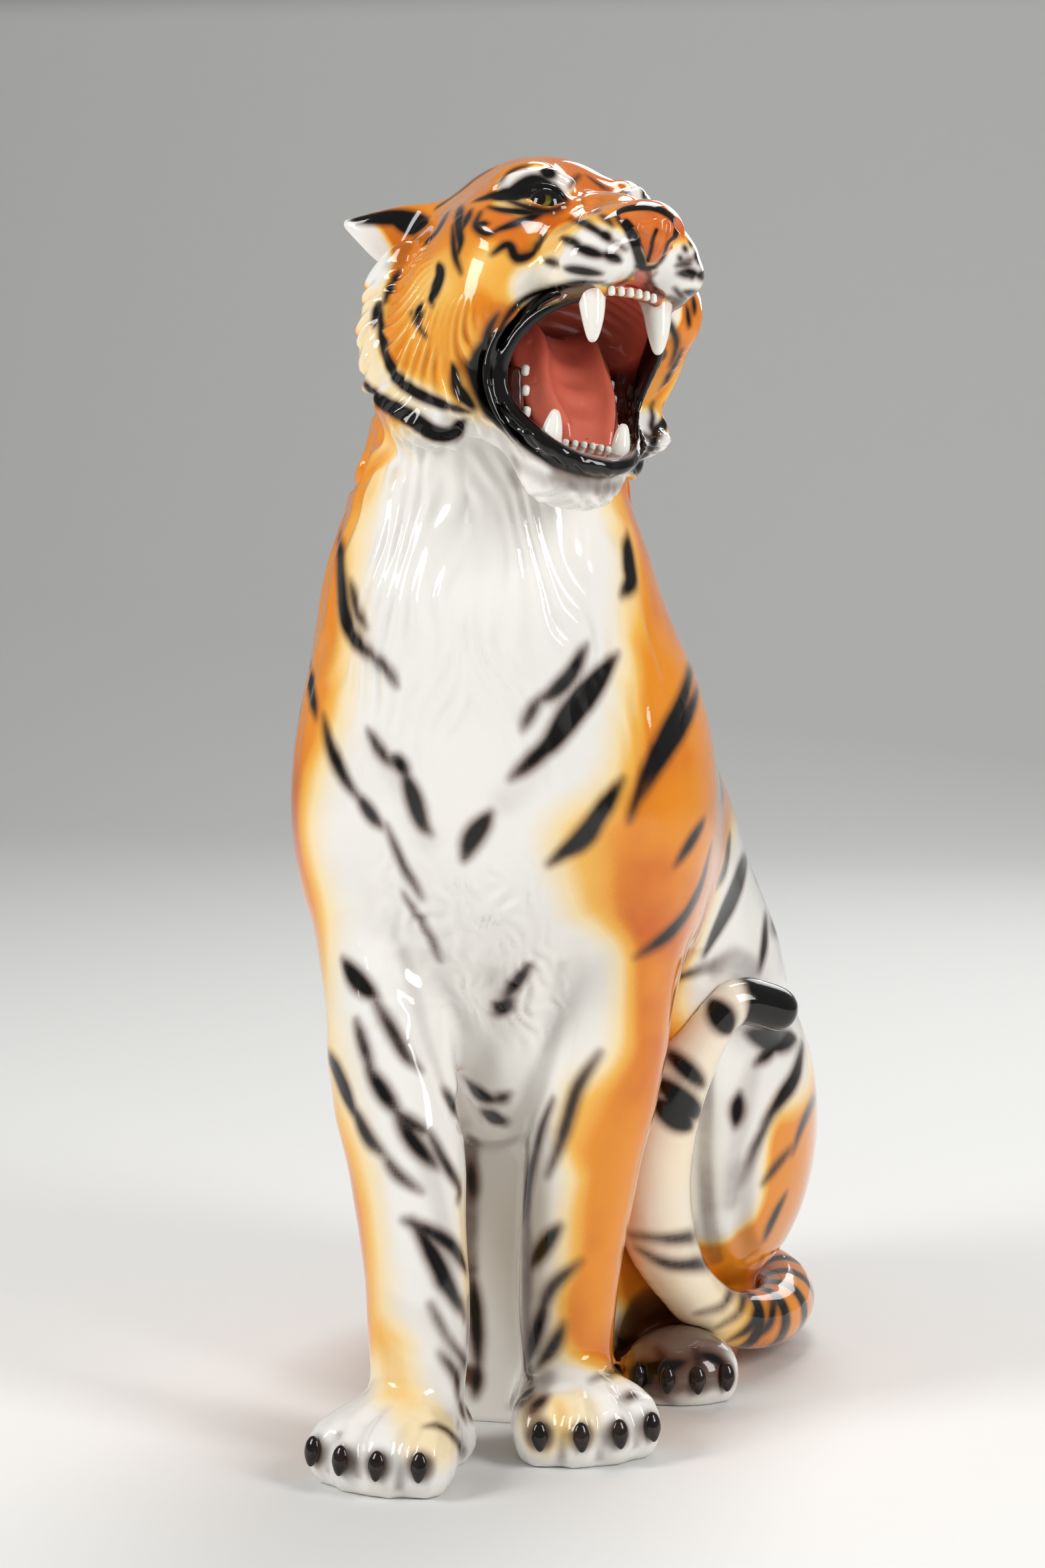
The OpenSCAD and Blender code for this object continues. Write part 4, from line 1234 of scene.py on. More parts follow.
def round_mouth(local, reach):
    """Numbers of the points near the mouth's edge, and how far outside and behind it each lies, in mm."""
    rim = drawn_back(curve_through(mouth_rim(), 4))
    flat = in_mouth_plane(local)
    flat_rim = in_mouth_plane(rim)
    numbers, gap, along = near_path(flat, flat_rim, reach)
    places = np.linspace(0, 1, len(rim))
    outer = np.interp(along, places, np.linalg.norm(flat_rim, axis=1))
    outside = np.where(np.linalg.norm(flat[numbers], axis=1) > outer, gap, -gap)
    behind = np.interp(along, places, rim @ MOUTH_WAY) - local[numbers] @ MOUTH_WAY
    return numbers, outside, behind


def clear_mouth(skin):
    """Sinks the skin behind the mouth's lining."""
    numbers, outside, behind = round_mouth(to_head(skin.points), MOUTH_REACH)
    share = smooth_step(*ROOM_OUTSIDE, outside) * plateau(*ROOM_BEHIND, *MOUTH_DEPTH, behind)
    field = np.zeros(len(skin.points))
    field[numbers] = -MOUTH_ROOM * MM * share
    skin.push(field)
    near = smooth_step(*TONGUE_OUTSIDE, outside) * plateau(*TONGUE_BEHIND, behind)
    skin.points[numbers] -= near[:, None] * (HEAD_AXES @ MOUTH_WAY) * TONGUE_ROOM * MM


# Angles round the mouth, with the radius of the lip's roll, how far it lies out of the mouth, and how far
# its black reaches, in mm
LIPS = np.array(
    [
        (0, 3.0, 0.0, -3.0), (30, 3.6, 0.5, 0.5), (45, 4.2, 0.5, 3.0),
        (65, 4.4, 0.5, 7.0), (80, 4.4, 1.0, 13.0), (98, 4.4, 1.0, 17.0),
        (118, 5.0, 1.5, 14.0), (140, 5.8, 2.5, 9.0), (180, 6.0, 2.5, 7.0),
    ]
).T


# Angles between which the lower lip starts, and how far it lies in towards the mouth's middle
LOWER_LIP = (100.0, 140.0)
LOWER_LIP_IN = 2.0
# How much thinner the roll is at its far side, at what angle, and over what angle to each side
FAR_LIP_THIN = 0.3
FAR_LIP_TURN = 90.0
FAR_LIP_SPREAD = 40.0
# The second fold: angle to each side of the corner, share at which it ends, place outside the roll and
# behind it, radius, and what the corner adds to that
FOLD_SPREAD = 30.0
FOLD_END = 0.2
FOLD_OUT = 9.0
FOLD_BACK = 4.0
FOLD_RADIUS = 1.5
FOLD_SWELL = 3.0


def bell(value, middle, spread):
    """1 at a middle value, and less to both sides of it."""
    return math.exp(-(((value - middle) / spread) ** 2))


def add_lips(clay):
    """The roll round the mouth, with a second fold outside its right corner."""
    rim = curve_through(mouth_rim(), 8)
    for spot, turn, flat in zip(rim, mouth_turn(rim), in_mouth_plane(rim)):
        away = flat / np.linalg.norm(flat)
        lower = float(smooth_step(*LOWER_LIP, turn))
        centre = spot + MOUTH_WAY * np.interp(turn, LIPS[0], LIPS[2]) - LOWER_LIP_IN * lower * away
        far = float(smooth_step(*FAR_SIDE, spot[0])) * bell(turn, FAR_LIP_TURN, FAR_LIP_SPREAD)
        clay.ball(centre, np.interp(turn, LIPS[0], LIPS[1]) * (1 - FAR_LIP_THIN * far))
        fold = bell(turn, CORNER_TURN, FOLD_SPREAD)
        if fold > FOLD_END and spot[0] < 0:
            clay.ball(spot + FOLD_OUT * away - FOLD_BACK * MOUTH_WAY, FOLD_RADIUS + FOLD_SWELL * fold)


def add_ruff(clay):
    """Locks of fur along the edge of the ruff."""
    edge = curve_through(RUFF_EDGE, 8)
    draw = np.random.default_rng(LOCK_SEED)
    first, last = LOCK_WAYS
    for share in np.linspace(0, 1, RUFF_LOCKS):
        spot = edge[int(round(share * (len(edge) - 1)))]
        way = first + share * (last - first)
        way /= np.linalg.norm(way)
        root = spot - LOCK_ROOT * way + LOCK_INSET
        tip = spot + at_random(draw, *LOCK_TIP) * way
        for side in both_sides([root, spot - LOCK_MIDDLE * way, tip]):
            clay.rope(side, *LOCK_RADII)


def head_base():
    """The head's smooth form, without its small features."""
    bm = filled(HEAD_NODES + ("torso_shell",))
    cut_off(bm, *above(COLLAR - COLLAR_LAP))
    clay = Clay()
    clay.ball(*SKULL)
    clay.ball(*FAR_CHEEK)
    clay.ball(*FAR_RUFF)
    for spot in both_sides(RUFF_FULLNESS[0]):
        clay.ball(spot, RUFF_FULLNESS[1])
    clay.add_to(bm)
    skin = Skin("head_base", bm, HEAD_BASE_GRAIN)
    local = to_head(skin.points)
    ears = smooth_step(*EAR_SIDE, np.abs(local[:, 0])) * smooth_step(*EAR_UP, local[:, 2])
    share = 0.5 * (1 - EARS_SPARED * ears)
    skin.blur(HEAD_BLUR, share)
    trim_jaw(skin)
    skin.blur(JAW_BLUR, share)
    skin.write()
    return skin


def trim_jaw(skin):
    """Draws the sides of the lower jaw in, close to the mouth's lining."""
    bm = copied(("mouth_lining",))
    lining = BVHTree.FromBMesh(bm)
    bm.free()
    side, back, up = to_head(skin.points).T
    share = smooth_step(*JAW_DOWN, up) * smooth_step(*JAW_SIDE, np.abs(side))
    share *= plateau(*JAW_BACK, back)
    for k in np.flatnonzero(share > FAINT):
        spot, _, _, gap = lining.find_nearest(Vector(skin.points[k]))
        draw = share[k] * max(1 - JAW_WALL * MM / gap, 0.0)
        skin.points[k] += draw * (np.array(spot) - skin.points[k])


def eye_frame(points, side):
    """Places of points along and across the slit of an eye and out of it, in mm."""
    spots = to_head(points) * (-side, 1, 1) - EYE_AT
    return spots @ EYE_ALONG, spots @ EYE_UP, spots @ EYE_WAY


def slit_depth(along, up):
    """How far inside the slit between the lids a place is, in mm."""
    inner, outer, high, low = EYE_SLIT
    share = ((along - inner) / (outer - inner)).clip(0, 1)
    lift = SLIT_UP + high * np.sin(np.pi * share ** 0.85) - up
    drop = up - SLIT_UP + low * np.sin(np.pi * share ** 0.7) ** 1.3
    return np.minimum(lift, drop)


def open_eyes(skin):
    """Sinks the skin behind the eyeballs between the lids."""
    for side in (-1, 1):
        along, up, out = eye_frame(skin.points, side)
        beside = (np.abs(along - LIDS_AT) < LIDS_HALF[0]) & (np.abs(up) < LIDS_HALF[1])
        near = np.flatnonzero(beside & (out > LIDS_BACK))
        inside = smooth_step(*LID_EDGE, slit_depth(along[near], up[near]))
        ball = 1 - smooth_step(*BALL_END, along[near])
        centre = from_head(EYE_AT * (-side, 1, 1))
        spoke = skin.points[near] - centre
        reach = np.linalg.norm(spoke, axis=1)
        sunk = np.where(ball > 0, np.minimum(reach, (EYE_RADIUS - LIDS_SINK) * MM), reach) * ball
        sunk += (1 - ball) * (reach - CORNER_SINK * MM)
        change = inside * (sunk / reach - 1)
        skin.points[near] += spoke * change[:, None]


# Relief of the face, in pixels of the picture: radius and height in mm, then the path on the right side
FACE_RELIEF = (
    (9, 2.5, (742, 264), (775, 251), (815, 249), (848, 268)),
    (7, -2.5, (838, 322), (815, 350), (790, 385), (768, 418)),
    (7, 2.0, (826, 322), (858, 306), (890, 299), (918, 302)),
    (6, -1.5, (872, 336), (846, 362), (826, 402)),
    (4, 1.2, (760, 300), (785, 314), (812, 322), (838, 318)),
    (8, 2.0, (690, 330), (720, 352), (760, 372)),
)
# Strokes on the face: half-width in mm, then the path on the right side
FACE_STRIPES = (
    (2.6, (745, 504), (762, 474), (785, 450), (815, 437), (840, 432), (868, 424), (905, 424)),
    (1.0, (905, 427), (922, 427), (937, 422), (948, 413), (955, 403)),
    (3.0, (712, 301), (730, 296), (750, 291), (770, 289)),
    (5.5, (738, 296), (760, 292), (784, 296)),
    (5.5, (768, 289), (786, 289), (798, 293)),
    (5.5, (762, 287), (785, 278), (803, 274), (820, 278), (836, 288), (850, 301)),
    (2.2, (755, 298), (772, 304), (792, 311), (817, 316), (837, 313), (850, 304)),
    (4.4, (818, 256), (827, 261)),
    (1.8, (748, 276), (760, 262), (777, 253), (793, 249)),
    (1.8, (855, 280), (862, 270), (870, 262)),
    (2.6, (733, 310), (753, 315), (783, 318), (808, 319)),
    (3.2, (716, 335), (730, 336)),
    (3.0, (743, 346), (768, 337), (793, 328), (815, 320)),
    (2.6, (721, 317), (714, 338), (731, 351), (751, 343)),
    (2.8, (739, 381), (763, 366), (775, 387), (799, 381), (807, 363)),
    (2.0, (817, 350), (808, 375)),
    (3.2, (655, 312), (690, 287), (716, 266), (742, 251)),
    (3.8, (690, 309), (688, 338), (691, 362), (687, 382)),
    (3.8, (672, 318), (655, 348), (638, 364)),
    (5.2, (657, 397), (660, 413), (651, 441), (647, 456)),
    (2.4, (679, 336), (682, 380), (692, 410)),
    (2.8, (706, 315), (700, 330), (694, 345)),
    (3.8, (631, 457), (625, 485)),
    (2.2, (748, 470), (735, 492), (722, 535)),
    (4.5, (679, 547), (688, 584), (711, 612)),
    (2.2, (722, 556), (728, 588), (738, 618)),
    (4.0, (570, 452), (574, 510), (591, 560), (619, 586), (665, 607), (704, 618)),
    (5.5, (547, 575), (570, 601), (613, 625), (652, 650), (680, 652), (694, 632)),
    (3.0, (566, 455), (562, 490)),
    (2.5, (600, 405), (586, 430), (577, 455)),
    (2.0, (618, 470), (640, 506)),
    (5.0, (518, 331), (560, 327), (600, 326), (642, 330)),
    (7.0, (592, 333), (618, 338), (640, 336)),
    (2.2, (888, 313), (897, 318)),
    (2.4, (901, 322), (919, 339)),
    (2.8, (856, 326), (878, 336), (898, 348), (914, 362)),
    (3.0, (901, 349), (916, 359)),
    (1.2, (917, 362), (940, 375)),
    (3.0, (862, 369), (884, 377), (906, 384)),
    (3.0, (904, 381), (922, 387), (932, 392)),
    (3.0, (848, 403), (875, 407), (902, 411)),
    (2.4, (818, 391), (838, 397)),
    (2.6, (842, 356), (858, 362), (872, 369)),
)
# Outlines of the nose, its nostril and the groove under it
NOSE_LINES = (
    (
        3.0, (921, 323), (933, 315), (953, 311), (977, 311),
        (996, 317), (1009, 327), (1016, 339), (1014, 352),
    ),
    (1.4, (1016, 350), (1010, 357), (1003, 364), (997, 380), (990, 393), (978, 402)),
    (1.4, (922, 319), (930, 333), (940, 345), (947, 360), (953, 380), (956, 397)),
    (3.6, (938, 337), (947, 350), (954, 366), (957, 380)),
    (3.0, (955, 372), (960, 386), (965, 399)),
    (1.0, (985, 345), (980, 358), (977, 374), (972, 390), (968, 398)),
    (2.2, (955, 399), (969, 403), (984, 400)),
    (1.2, (970, 405), (976, 420), (986, 436), (1001, 447), (1018, 454)),
)
# Pink gum that shows under the parted upper lip: half-width, soft edge, amount, path
GUM_SPRAYS = (
    (4, 3, 1.0, (965, 411), (964, 430)),
    (4, 3, 1.0, (935, 432), (960, 434), (985, 443)),
)
# Painted shade on the face, sprayed brown: inside the upper lip, under the lower lip, where the jaw meets
# the neck
# and in creases of the face: half-width, soft edge, amount, path
FACE_SHADE = (
    (4.5, 3, 1.0, (768, 486), (790, 463), (815, 449), (850, 440), (880, 437)),
    (1, 9, 0.45, (776, 694), (808, 714), (850, 726), (900, 730), (930, 722)),
    (2, 10, 0.4, (752, 650), (768, 690), (778, 720)),
    (3, 10, 0.35, (905, 300), (930, 303)),
    (2, 10, 0.4, (600, 372), (590, 395)),
    (3, 9, 0.3, (748, 470), (730, 520), (735, 600)),
)
# Orange, white and stripes that only the far cheek has
FAR_SPRAYS = (
    (9, 7, -1.0, (1038, 452), (1042, 480), (1034, 505)),
    (10, 9, 1.0, (976, 648), (984, 668), (970, 690)),
)
FAR_STRIPES = (
    (2.2, (1040, 445), (1042, 470)),
    (2.2, (1030, 460), (1034, 490)),
    (2.2, (1036, 510), (1028, 545)),
    (3.0, (985, 640), (978, 672), (960, 690)),
    (2.5, (975, 655), (962, 675)),
    (2.0, (1027, 372), (1029, 374)),
    (2.0, (1035, 364), (1037, 367)),
    (1.6, (1015, 398), (1037, 395)),
    (1.8, (1046, 390), (1048, 394)),
    (1.8, (1037, 414), (1040, 417)),
    (1.8, (1012, 432), (1020, 442), (1030, 452)),
    (1.6, (1019, 386), (1022, 389)),
)
# White on the face: half-width, soft edge, amount, path
FACE_WHITE = (
    (7, 7, 1.0, (770, 276), (795, 264), (825, 257), (846, 268)),
    (13, 14, 1.0, (885, 384), (930, 394)),
    (8, 12, 0.8, (800, 432), (850, 414), (885, 402)),
    (11, 18, 0.45, (838, 352), (870, 346)),
    (7, 14, 0.7, (558, 440), (548, 520), (560, 570)),
    (6, 12, 0.6, (590, 580), (640, 612), (690, 640)),
    (9, 9, 1.0, (530, 345), (552, 372), (564, 402)),
    (22, 30, 0.3, (640, 470), (670, 540), (700, 580)),
    (10, 24, 0.25, (690, 390), (640, 430)),
    (8, 16, 0.35, (740, 400), (760, 420)),
    (4, 8, 0.5, (757, 302), (780, 309)),
)
# Path of a stripe on the back of the head, in the head's frame, and the heights of the pairs
NAPE_PATH = np.array(((7, 76, 0), (28, 68, -5), (48, 50, -16)))
NAPE_STRIPES = (60, 36, 12, -14, -40)
NAPE_WIDTH = 4.5
# Path of the white under the mouth, in the head's frame, and its half-width and soft edge
CHIN_WHITE = ((-26, -44, -146), (0, -50, -152), (26, -44, -146))
CHIN_SPRAY = (26, 16)
# Soft edge in mm and share of the width at the ends, for strokes on the face, the far cheek and the nose
FACE_STROKE = (3.5, 0.3)
FAR_STROKE = (3.0, 0.5)
NOSE_STROKE = (2.5, 0.6)
# Distance in mm between the crests of the strands of the ruff, and the seeds of their bends
RUFF_WAVE = 8.0
RUFF_SEED = 7.0
CHIN_SEED = 9.0
# Where the strands run from, as a place backwards and upwards, and how far from it RUFF_WAVE holds
STRANDS_FROM = (-58, -4)
STRANDS_RADIUS = 75
# Where the fur of the ruff starts and is whole: away from that place, behind it, sideways, and from the lips
RUFF_AWAY = (34.0, 62.0)
RUFF_BEHIND = (-16.0, 22.0)
RUFF_SIDE = (35.0, 60.0)
RUFF_FROM_LIPS = (15.0, 26.0)
# Heights between which it rises and fades
RUFF_FUR = (-125.0, -105.0, -8.0, 22.0)
# Where the fur of the chin starts and is whole, downwards and forwards
CHIN_DOWN = (-141.0, -150.0)
CHIN_FRONT = (5.0, -15.0)
# How strongly the paint shows the strands, and the share of the relief that the chin's have
RUFF_TONE = 1.0
CHIN_TONE = 0.6
CHIN_RELIEF = 0.4


def on_face(tree, pixels):
    """The paths on both sides of the head that lie under a path of pixels on its right side."""
    path = seen(tree, pixels)
    if not path:
        return ()
    left = [tree.find_nearest(Vector(spot))[0] for spot in from_head(mirrored(to_head(path)))]
    return path, [np.array(spot) for spot in left]


def comb_ruff(skin, relief):
    """Grooves between the strands of fur on the cheeks and the chin."""
    local = to_head(skin.points)
    x, y, z = local.T
    back = y - STRANDS_FROM[0]
    up = z - STRANDS_FROM[1]
    share = smooth_step(*RUFF_AWAY, np.hypot(back, up)) * smooth_step(*RUFF_BEHIND, back)
    share *= smooth_step(*RUFF_SIDE, np.abs(x))
    share *= plateau(*RUFF_FUR, z)
    lips = drawn_back(curve_through(mouth_rim(), 4))
    numbers, gap, _ = near_path(local, lips, RUFF_FROM_LIPS[1])
    share[numbers] *= smooth_step(*RUFF_FROM_LIPS, gap)
    across = np.arctan2(up, back) * STRANDS_RADIUS * MM
    ruff = lay_strands(skin, share, across, RUFF_WAVE, RUFF_SEED, RUFF_TONE)
    share = smooth_step(*CHIN_DOWN, z) * smooth_step(*CHIN_FRONT, y)
    chin = lay_strands(skin, share, x * MM, RUFF_WAVE, CHIN_SEED, CHIN_TONE)
    skin.push(relief * ruff + CHIN_RELIEF * relief * chin)


class TIGER_OT_head(bpy.types.Operator):
    """Head and ears as one skin, modelled, carved and painted."""

    bl_idname = "tiger.head"
    bl_label = "Head"

    def execute(self, context):
        sizes = context.scene.tiger_sizes
        base = head_base()
        bm = bmesh.new()
        bm.from_mesh(base.piece.data)
        bpy.data.objects.remove(base.piece)
        clay = Clay()
        for centre, half_sizes in HEAD_MOUNDS:
            for spot in both_sides(centre):
                clay.ball(spot, half_sizes)
        for first, last, *path in HEAD_ROPES:
            for side in both_sides(path):
                clay.rope(side, first, last)
        add_lips(clay)
        add_ruff(clay)
        clay.add_to(bm)
        skin = Skin("head", bm, sizes.head_grain)
        skin.blur(18)
        skin.points = from_head(drawn_back(to_head(skin.points)))
        clear_mouth(skin)
        carve(skin, FACE_RELIEF, on_face)
        comb_ruff(skin, sizes.ruff_relief)
        comb_chest(skin, sizes.coat_relief)
        open_eyes(skin)
        skin.blur(1)
        paint = Paint(skin)
        paint_coat(paint)
        paint_face(paint)
        paint.keep()
        glaze = striped_glaze(context.scene.tiger_colours)
        back = HEAD_AXES[:, 1]
        face = slice_of(skin, "face_skin", (from_head(FACE_CUT), back))
        finish_piece(face, glaze, "striped_glaze", "head_shell")
        ruff = slice_of(skin, "ruff_skin", above(COLLAR), (from_head(FACE_CUT), -back))
        finish_piece(ruff, glaze, "striped_glaze", "left_ear", "right_ear")
        bpy.data.objects.remove(skin.piece)
        return {"FINISHED"}


def paint_face(paint):
    """Sprays the white of the face, then its stripes, its brown painted shade and the black lips."""
    tree = paint.skin.tree()

    def facing(pixels):
        return [seen(tree, pixels)]

    def both(pixels):
        return on_face(tree, pixels)

    paint.spray_all(paint.white, FACE_WHITE, both)
    paint.spray(paint.white, list(from_head(CHIN_WHITE)), *CHIN_SPRAY)
    paint.brush_all(FACE_STRIPES, both, *FACE_STROKE)
    for up in NAPE_STRIPES:
        for side in (-1, 1):
            spots = from_head(NAPE_PATH * (side, 1, 1) + (0, 0, up))
            paint.brush([np.array(tree.find_nearest(Vector(spot))[0]) for spot in spots], NAPE_WIDTH)
    paint.spray_all(paint.white, FAR_SPRAYS, facing)
    paint.brush_all(FAR_STRIPES, facing, *FAR_STROKE)
    # The brown painted shade of the face
    paint.spray_all(paint.shade, FACE_SHADE, both)
    paint.brush_all(NOSE_LINES, facing, *NOSE_STROKE)
    paint.spray_all(paint.gum, GUM_SPRAYS, facing)
    paint_lips(paint)


# The black of the lips: how much narrower the far side is, how far it reaches behind and inside the
# mouth's edge, and its soft edges
FAR_BLACK_THIN = 0.6
BLACK_BEHIND = 20.0
BLACK_INSIDE = 7.0
BLACK_SOFT = 4.0
BLACK_INSIDE_SOFT = 3.0
# The red: where it starts and is whole outside and behind that edge, its brown painted shade, and the angles
# between which that shade doubles
RED_OUTSIDE = (1.0, -2.0)
RED_BEHIND = (-2.0, 2.0)
RED_SHADE = 0.6
RED_CORNER = (26.0, 40.0)


def paint_lips(paint):
    """Black round the mouth, wide at its near corner, and red darkened with painted shade inside it."""
    local = to_head(paint.skin.points)
    numbers, outside, behind = round_mouth(local, MOUTH_REACH)
    spots = local[numbers]
    width = np.interp(mouth_turn(spots), LIPS[0], LIPS[3])
    width *= np.where(width > 0, 1 - FAR_BLACK_THIN * smooth_step(*FAR_SIDE, spots[:, 0]), 1)
    density = np.minimum(width - outside, BLACK_BEHIND - behind) / BLACK_SOFT
    paint.darken(numbers, np.minimum(density, (outside + BLACK_INSIDE) / BLACK_INSIDE_SOFT))
    inside = smooth_step(*RED_OUTSIDE, outside) * plateau(*RED_BEHIND, *MOUTH_DEPTH, behind)
    corner = smooth_step(*RED_CORNER, mouth_turn(spots))
    paint.gum[numbers] = np.maximum(paint.gum[numbers], inside)
    # Brown painted shade inside the lips, twice as dark away from the front of the mouth
    paint.shade[numbers] = np.maximum(paint.shade[numbers], RED_SHADE * (1 + corner) * inside)


# Tail, mouth, teeth, eyes, nose and claws


# Middle line of the tail, in mm, from its root to its tip
TAIL_LINE = (
    (10, 250, 46), (60, 262, 36), (104, 246, 34), (130, 208, 34), (138, 164, 32), (128, 116, 34),
    (104, 72, 48), (83, 38, 84), (75, 22, 138), (79, 22, 190),
    (93, 26, 240), (116, 34, 280), (146, 58, 272),
)
# Shares of its length between which it stands upright
TAIL_UPRIGHT = (0.55, 0.66, 0.8, 0.92)
# How much thicker its upright part is than the CAD's, and how far it leans to the leg
TAIL_FULLNESS = 0.007
TAIL_LEAN = 0.008
# Distance and half-width in mm of the rings of its hidden run, and the share of the length where they end
TAIL_RING_GAP = 30.0
TAIL_RING_HALF = 5.5
TAIL_RINGS_END = 0.47
# Share of the length where the black tip starts, and the soft edge of the black in mm
TAIL_TIP = 0.945
TAIL_SOFT = 5.0


class TIGER_OT_tail(bpy.types.Operator):
    """Tail with its rings and its black tip."""

    bl_idname = "tiger.tail"
    bl_label = "Tail"

    def execute(self, context):
        skin = Skin("tail_skin", copied(("tail",)), context.scene.tiger_sizes.tail_grain)
        skin.blur(12)
        line = curve_through(np.array(TAIL_LINE) * MM, 8)
        long = np.linalg.norm(np.diff(line, axis=0), axis=1).sum() / MM
        share = near_path(skin.points, line, 1.0)[2]
        upright = plateau(*TAIL_UPRIGHT, share)
        skin.push(TAIL_FULLNESS * upright)
        skin.points[:, 0] -= TAIL_LEAN * upright
        paint = Paint(skin)
        paint.white[:] = 0.08 + 0.72 * smooth_step(0.40, 0.56, share)
        tree = skin.tree()
        paint.brush_all(TAIL_STRIPES, lambda pixels: [seen(tree, pixels)])
        place = share * long
        ring = TAIL_RING_GAP / 2 - np.abs(place % TAIL_RING_GAP - TAIL_RING_GAP / 2)
        hidden = np.where(share < TAIL_RINGS_END, TAIL_RING_HALF - ring, -TAIL_SOFT)
        tip = place - TAIL_TIP * long
        paint.darken(slice(None), np.maximum(hidden, tip) / TAIL_SOFT)
        paint.keep()
        finish_piece(skin.piece, striped_glaze(context.scene.tiger_colours), "striped_glaze", "tail")
        return {"FINISHED"}


def mouth_glaze(colours):
    """Red that darkens with painted shade towards the throat, with black edges."""
    glaze = Glaze("red_glaze")
    cloud = glaze.noise(45.0, 3.0)
    # Painted shade: the depth layer darkens the red deeper in the mouth and on its walls, towards the
    # throat's colour
    depth = glaze.attribute("depth") + (cloud - 0.5) * 0.35
    tone = glaze.ramp(
        depth, (0.0, rgb(colours.tongue)), (0.45, rgb(colours.mouth)), (1.0, rgb(colours.throat))
    )
    tone = glaze.mix(glaze.step(glaze.attribute("lip"), 0.2, 0.8), tone, rgb(colours.black))
    return glaze.finish(tone, 0.12 + cloud * 0.1, glaze.noise(220.0, 2.0), 0.0004, 0.3)


# Middles of the cheek teeth in the head's frame, in mm, from the back of the mouth to its front
CHEEK_TEETH = {
    "right_cheek_teeth": (
        (-38, -44, -77), (-38, -44, -90), (-38, -43, -104), (-36, -43, -115), (-32, -43, -121),
    ),
    "left_cheek_teeth": ((39, -21, -68), (40, -22, -78), (39, -23, -89), (38, -26, -99), (36, -32, -108)),
}
# Middles of the incisors in the head's frame, in mm
INCISORS = {
    "upper_incisors": [(x, -110 + 0.011 * x * x, -46) for x in (-17, -11, -5, 1, 7, 13)],
    "lower_incisors": [(x, -49.5 + 0.006 * x * x, -124.5) for x in (-17, -10.7, -4.4, 1.9, 8.2, 14.2)],
}
# From a cheek tooth to the middle of the gum it stands in, on the left side, and the gum's radius
GUM_OFFSET = np.array((5.0, 4.0, -1.0))
GUM_RADIUS = 5.5
# From a CAD cheek tooth to the ball that closes its seat, on the left side, and the ball's radius
SEAT_OFFSET = np.array((3.0, 2.0, 0.0))
SEAT_RADIUS = 5.0
# Ropes of clay where the CAD's lining has the tongue's seat: path, places across the mouth, radius
MOUTH_FLOOR = ((0, -33, -121), (0, -14, -100), (0, 8, -74))
FLOOR_SIDES = (-16, 0, 16)
FLOOR_RADIUS = 12.0
# Rope of clay under the lower incisors
LOWER_GUM = ((-26, -43, -127), (-13, -46, -130), (0, -47, -131), (13, -46, -130), (26, -43, -127))
LOWER_GUM_RADIUS = 4.5
# Height of the ridges of the palate, and the distance between them in mm
PALATE_RIDGE = 0.0005
PALATE_WAVE = 9.0
# How the ridges bow, and where the palate starts and is whole, upwards and sideways
PALATE_BOW = 0.004
PALATE_UP = (-60.0, -40.0)
PALATE_SIDE = (42.0, 30.0)
# Where the painted shade of the mouth's walls starts and is whole, sideways and downwards
WALL_SIDE = (26.0, 42.0)
WALL_DOWN = (-44.0, -64.0)
# How dark the painted shade at the back of the mouth is, how much lighter its front is, and where it
# lightens
BACK_SHADE = 0.62
FRONT_LIGHT = 0.4
FRONT_OUT = (-52.0, 12.0)
# The black edge of the lining: how far it is looked for, and where it starts and is whole inside, behind
# and outside the mouth's edge and round the mouth
LIP_REACH = 30.0
LIP_INSIDE = (-6.0, -2.0)
LIP_BEHIND = (16.0, 8.0)
LIP_OUTSIDE = (0.0, 2.0)
LIP_TURN = (26.0, 38.0)


def lining_skin(grain):
    """The lining of the mouth with its gums, its floor and the ridges of the palate."""
    bm = copied(("mouth_lining",))
    clay = Clay()
    for node, row in CHEEK_TEETH.items():
        side = -1 if "right" in node else 1
        clay.rope(np.array(row) + GUM_OFFSET * (side, 1, 1), GUM_RADIUS)
        for points in islands(node):
            clay.ball(to_head(axes_of(points)[0]) + SEAT_OFFSET * (side, 1, 1), SEAT_RADIUS)
    clay.rope(LOWER_GUM, LOWER_GUM_RADIUS)
    for side in FLOOR_SIDES:
        clay.rope(np.array(MOUTH_FLOOR) + (side, 0, 0), FLOOR_RADIUS)
    clay.add_to(bm)
    skin = Skin("mouth_lining_skin", bm, grain)
    skin.blur(14)
    skin.points = from_head(drawn_back(to_head(skin.points)))
    local = to_head(skin.points)
    x, y, z = local.T
    palate = smooth_step(*PALATE_UP, z) * smooth_step(*PALATE_SIDE, np.abs(x))
    ridges = np.sin(2 * np.pi * (y + PALATE_BOW * x ** 2) / PALATE_WAVE)
    skin.push(PALATE_RIDGE * palate * ridges)
    skin.write()
    paint_lining(skin.piece.data, local)
    return skin.piece


def paint_lining(mesh, local):
    """Stores the lining's painted shade, dark at the mouth's back and walls, and which corners are on the
    black lip.
    """
    x, _, z = local.T
    out = (local - MOUTH_AT) @ MOUTH_WAY
    # Painted shade: darker on the mouth's walls and at its back, lighter towards its front
    walls = smooth_step(*WALL_SIDE, np.abs(x)) * smooth_step(*WALL_DOWN, z)
    middle = BACK_SHADE - FRONT_LIGHT * smooth_step(*FRONT_OUT, out)
    keep_layer(mesh, "depth", np.maximum(middle, walls))
    numbers, outside, behind = round_mouth(local, LIP_REACH)
    lip = np.zeros(len(local))
    edge = smooth_step(*LIP_INSIDE, outside) * smooth_step(*LIP_BEHIND, behind)
    lip[numbers] = np.maximum(edge, smooth_step(*LIP_OUTSIDE, outside))
    keep_layer(mesh, "lip", lip * smooth_step(*LIP_TURN, mouth_turn(local)))


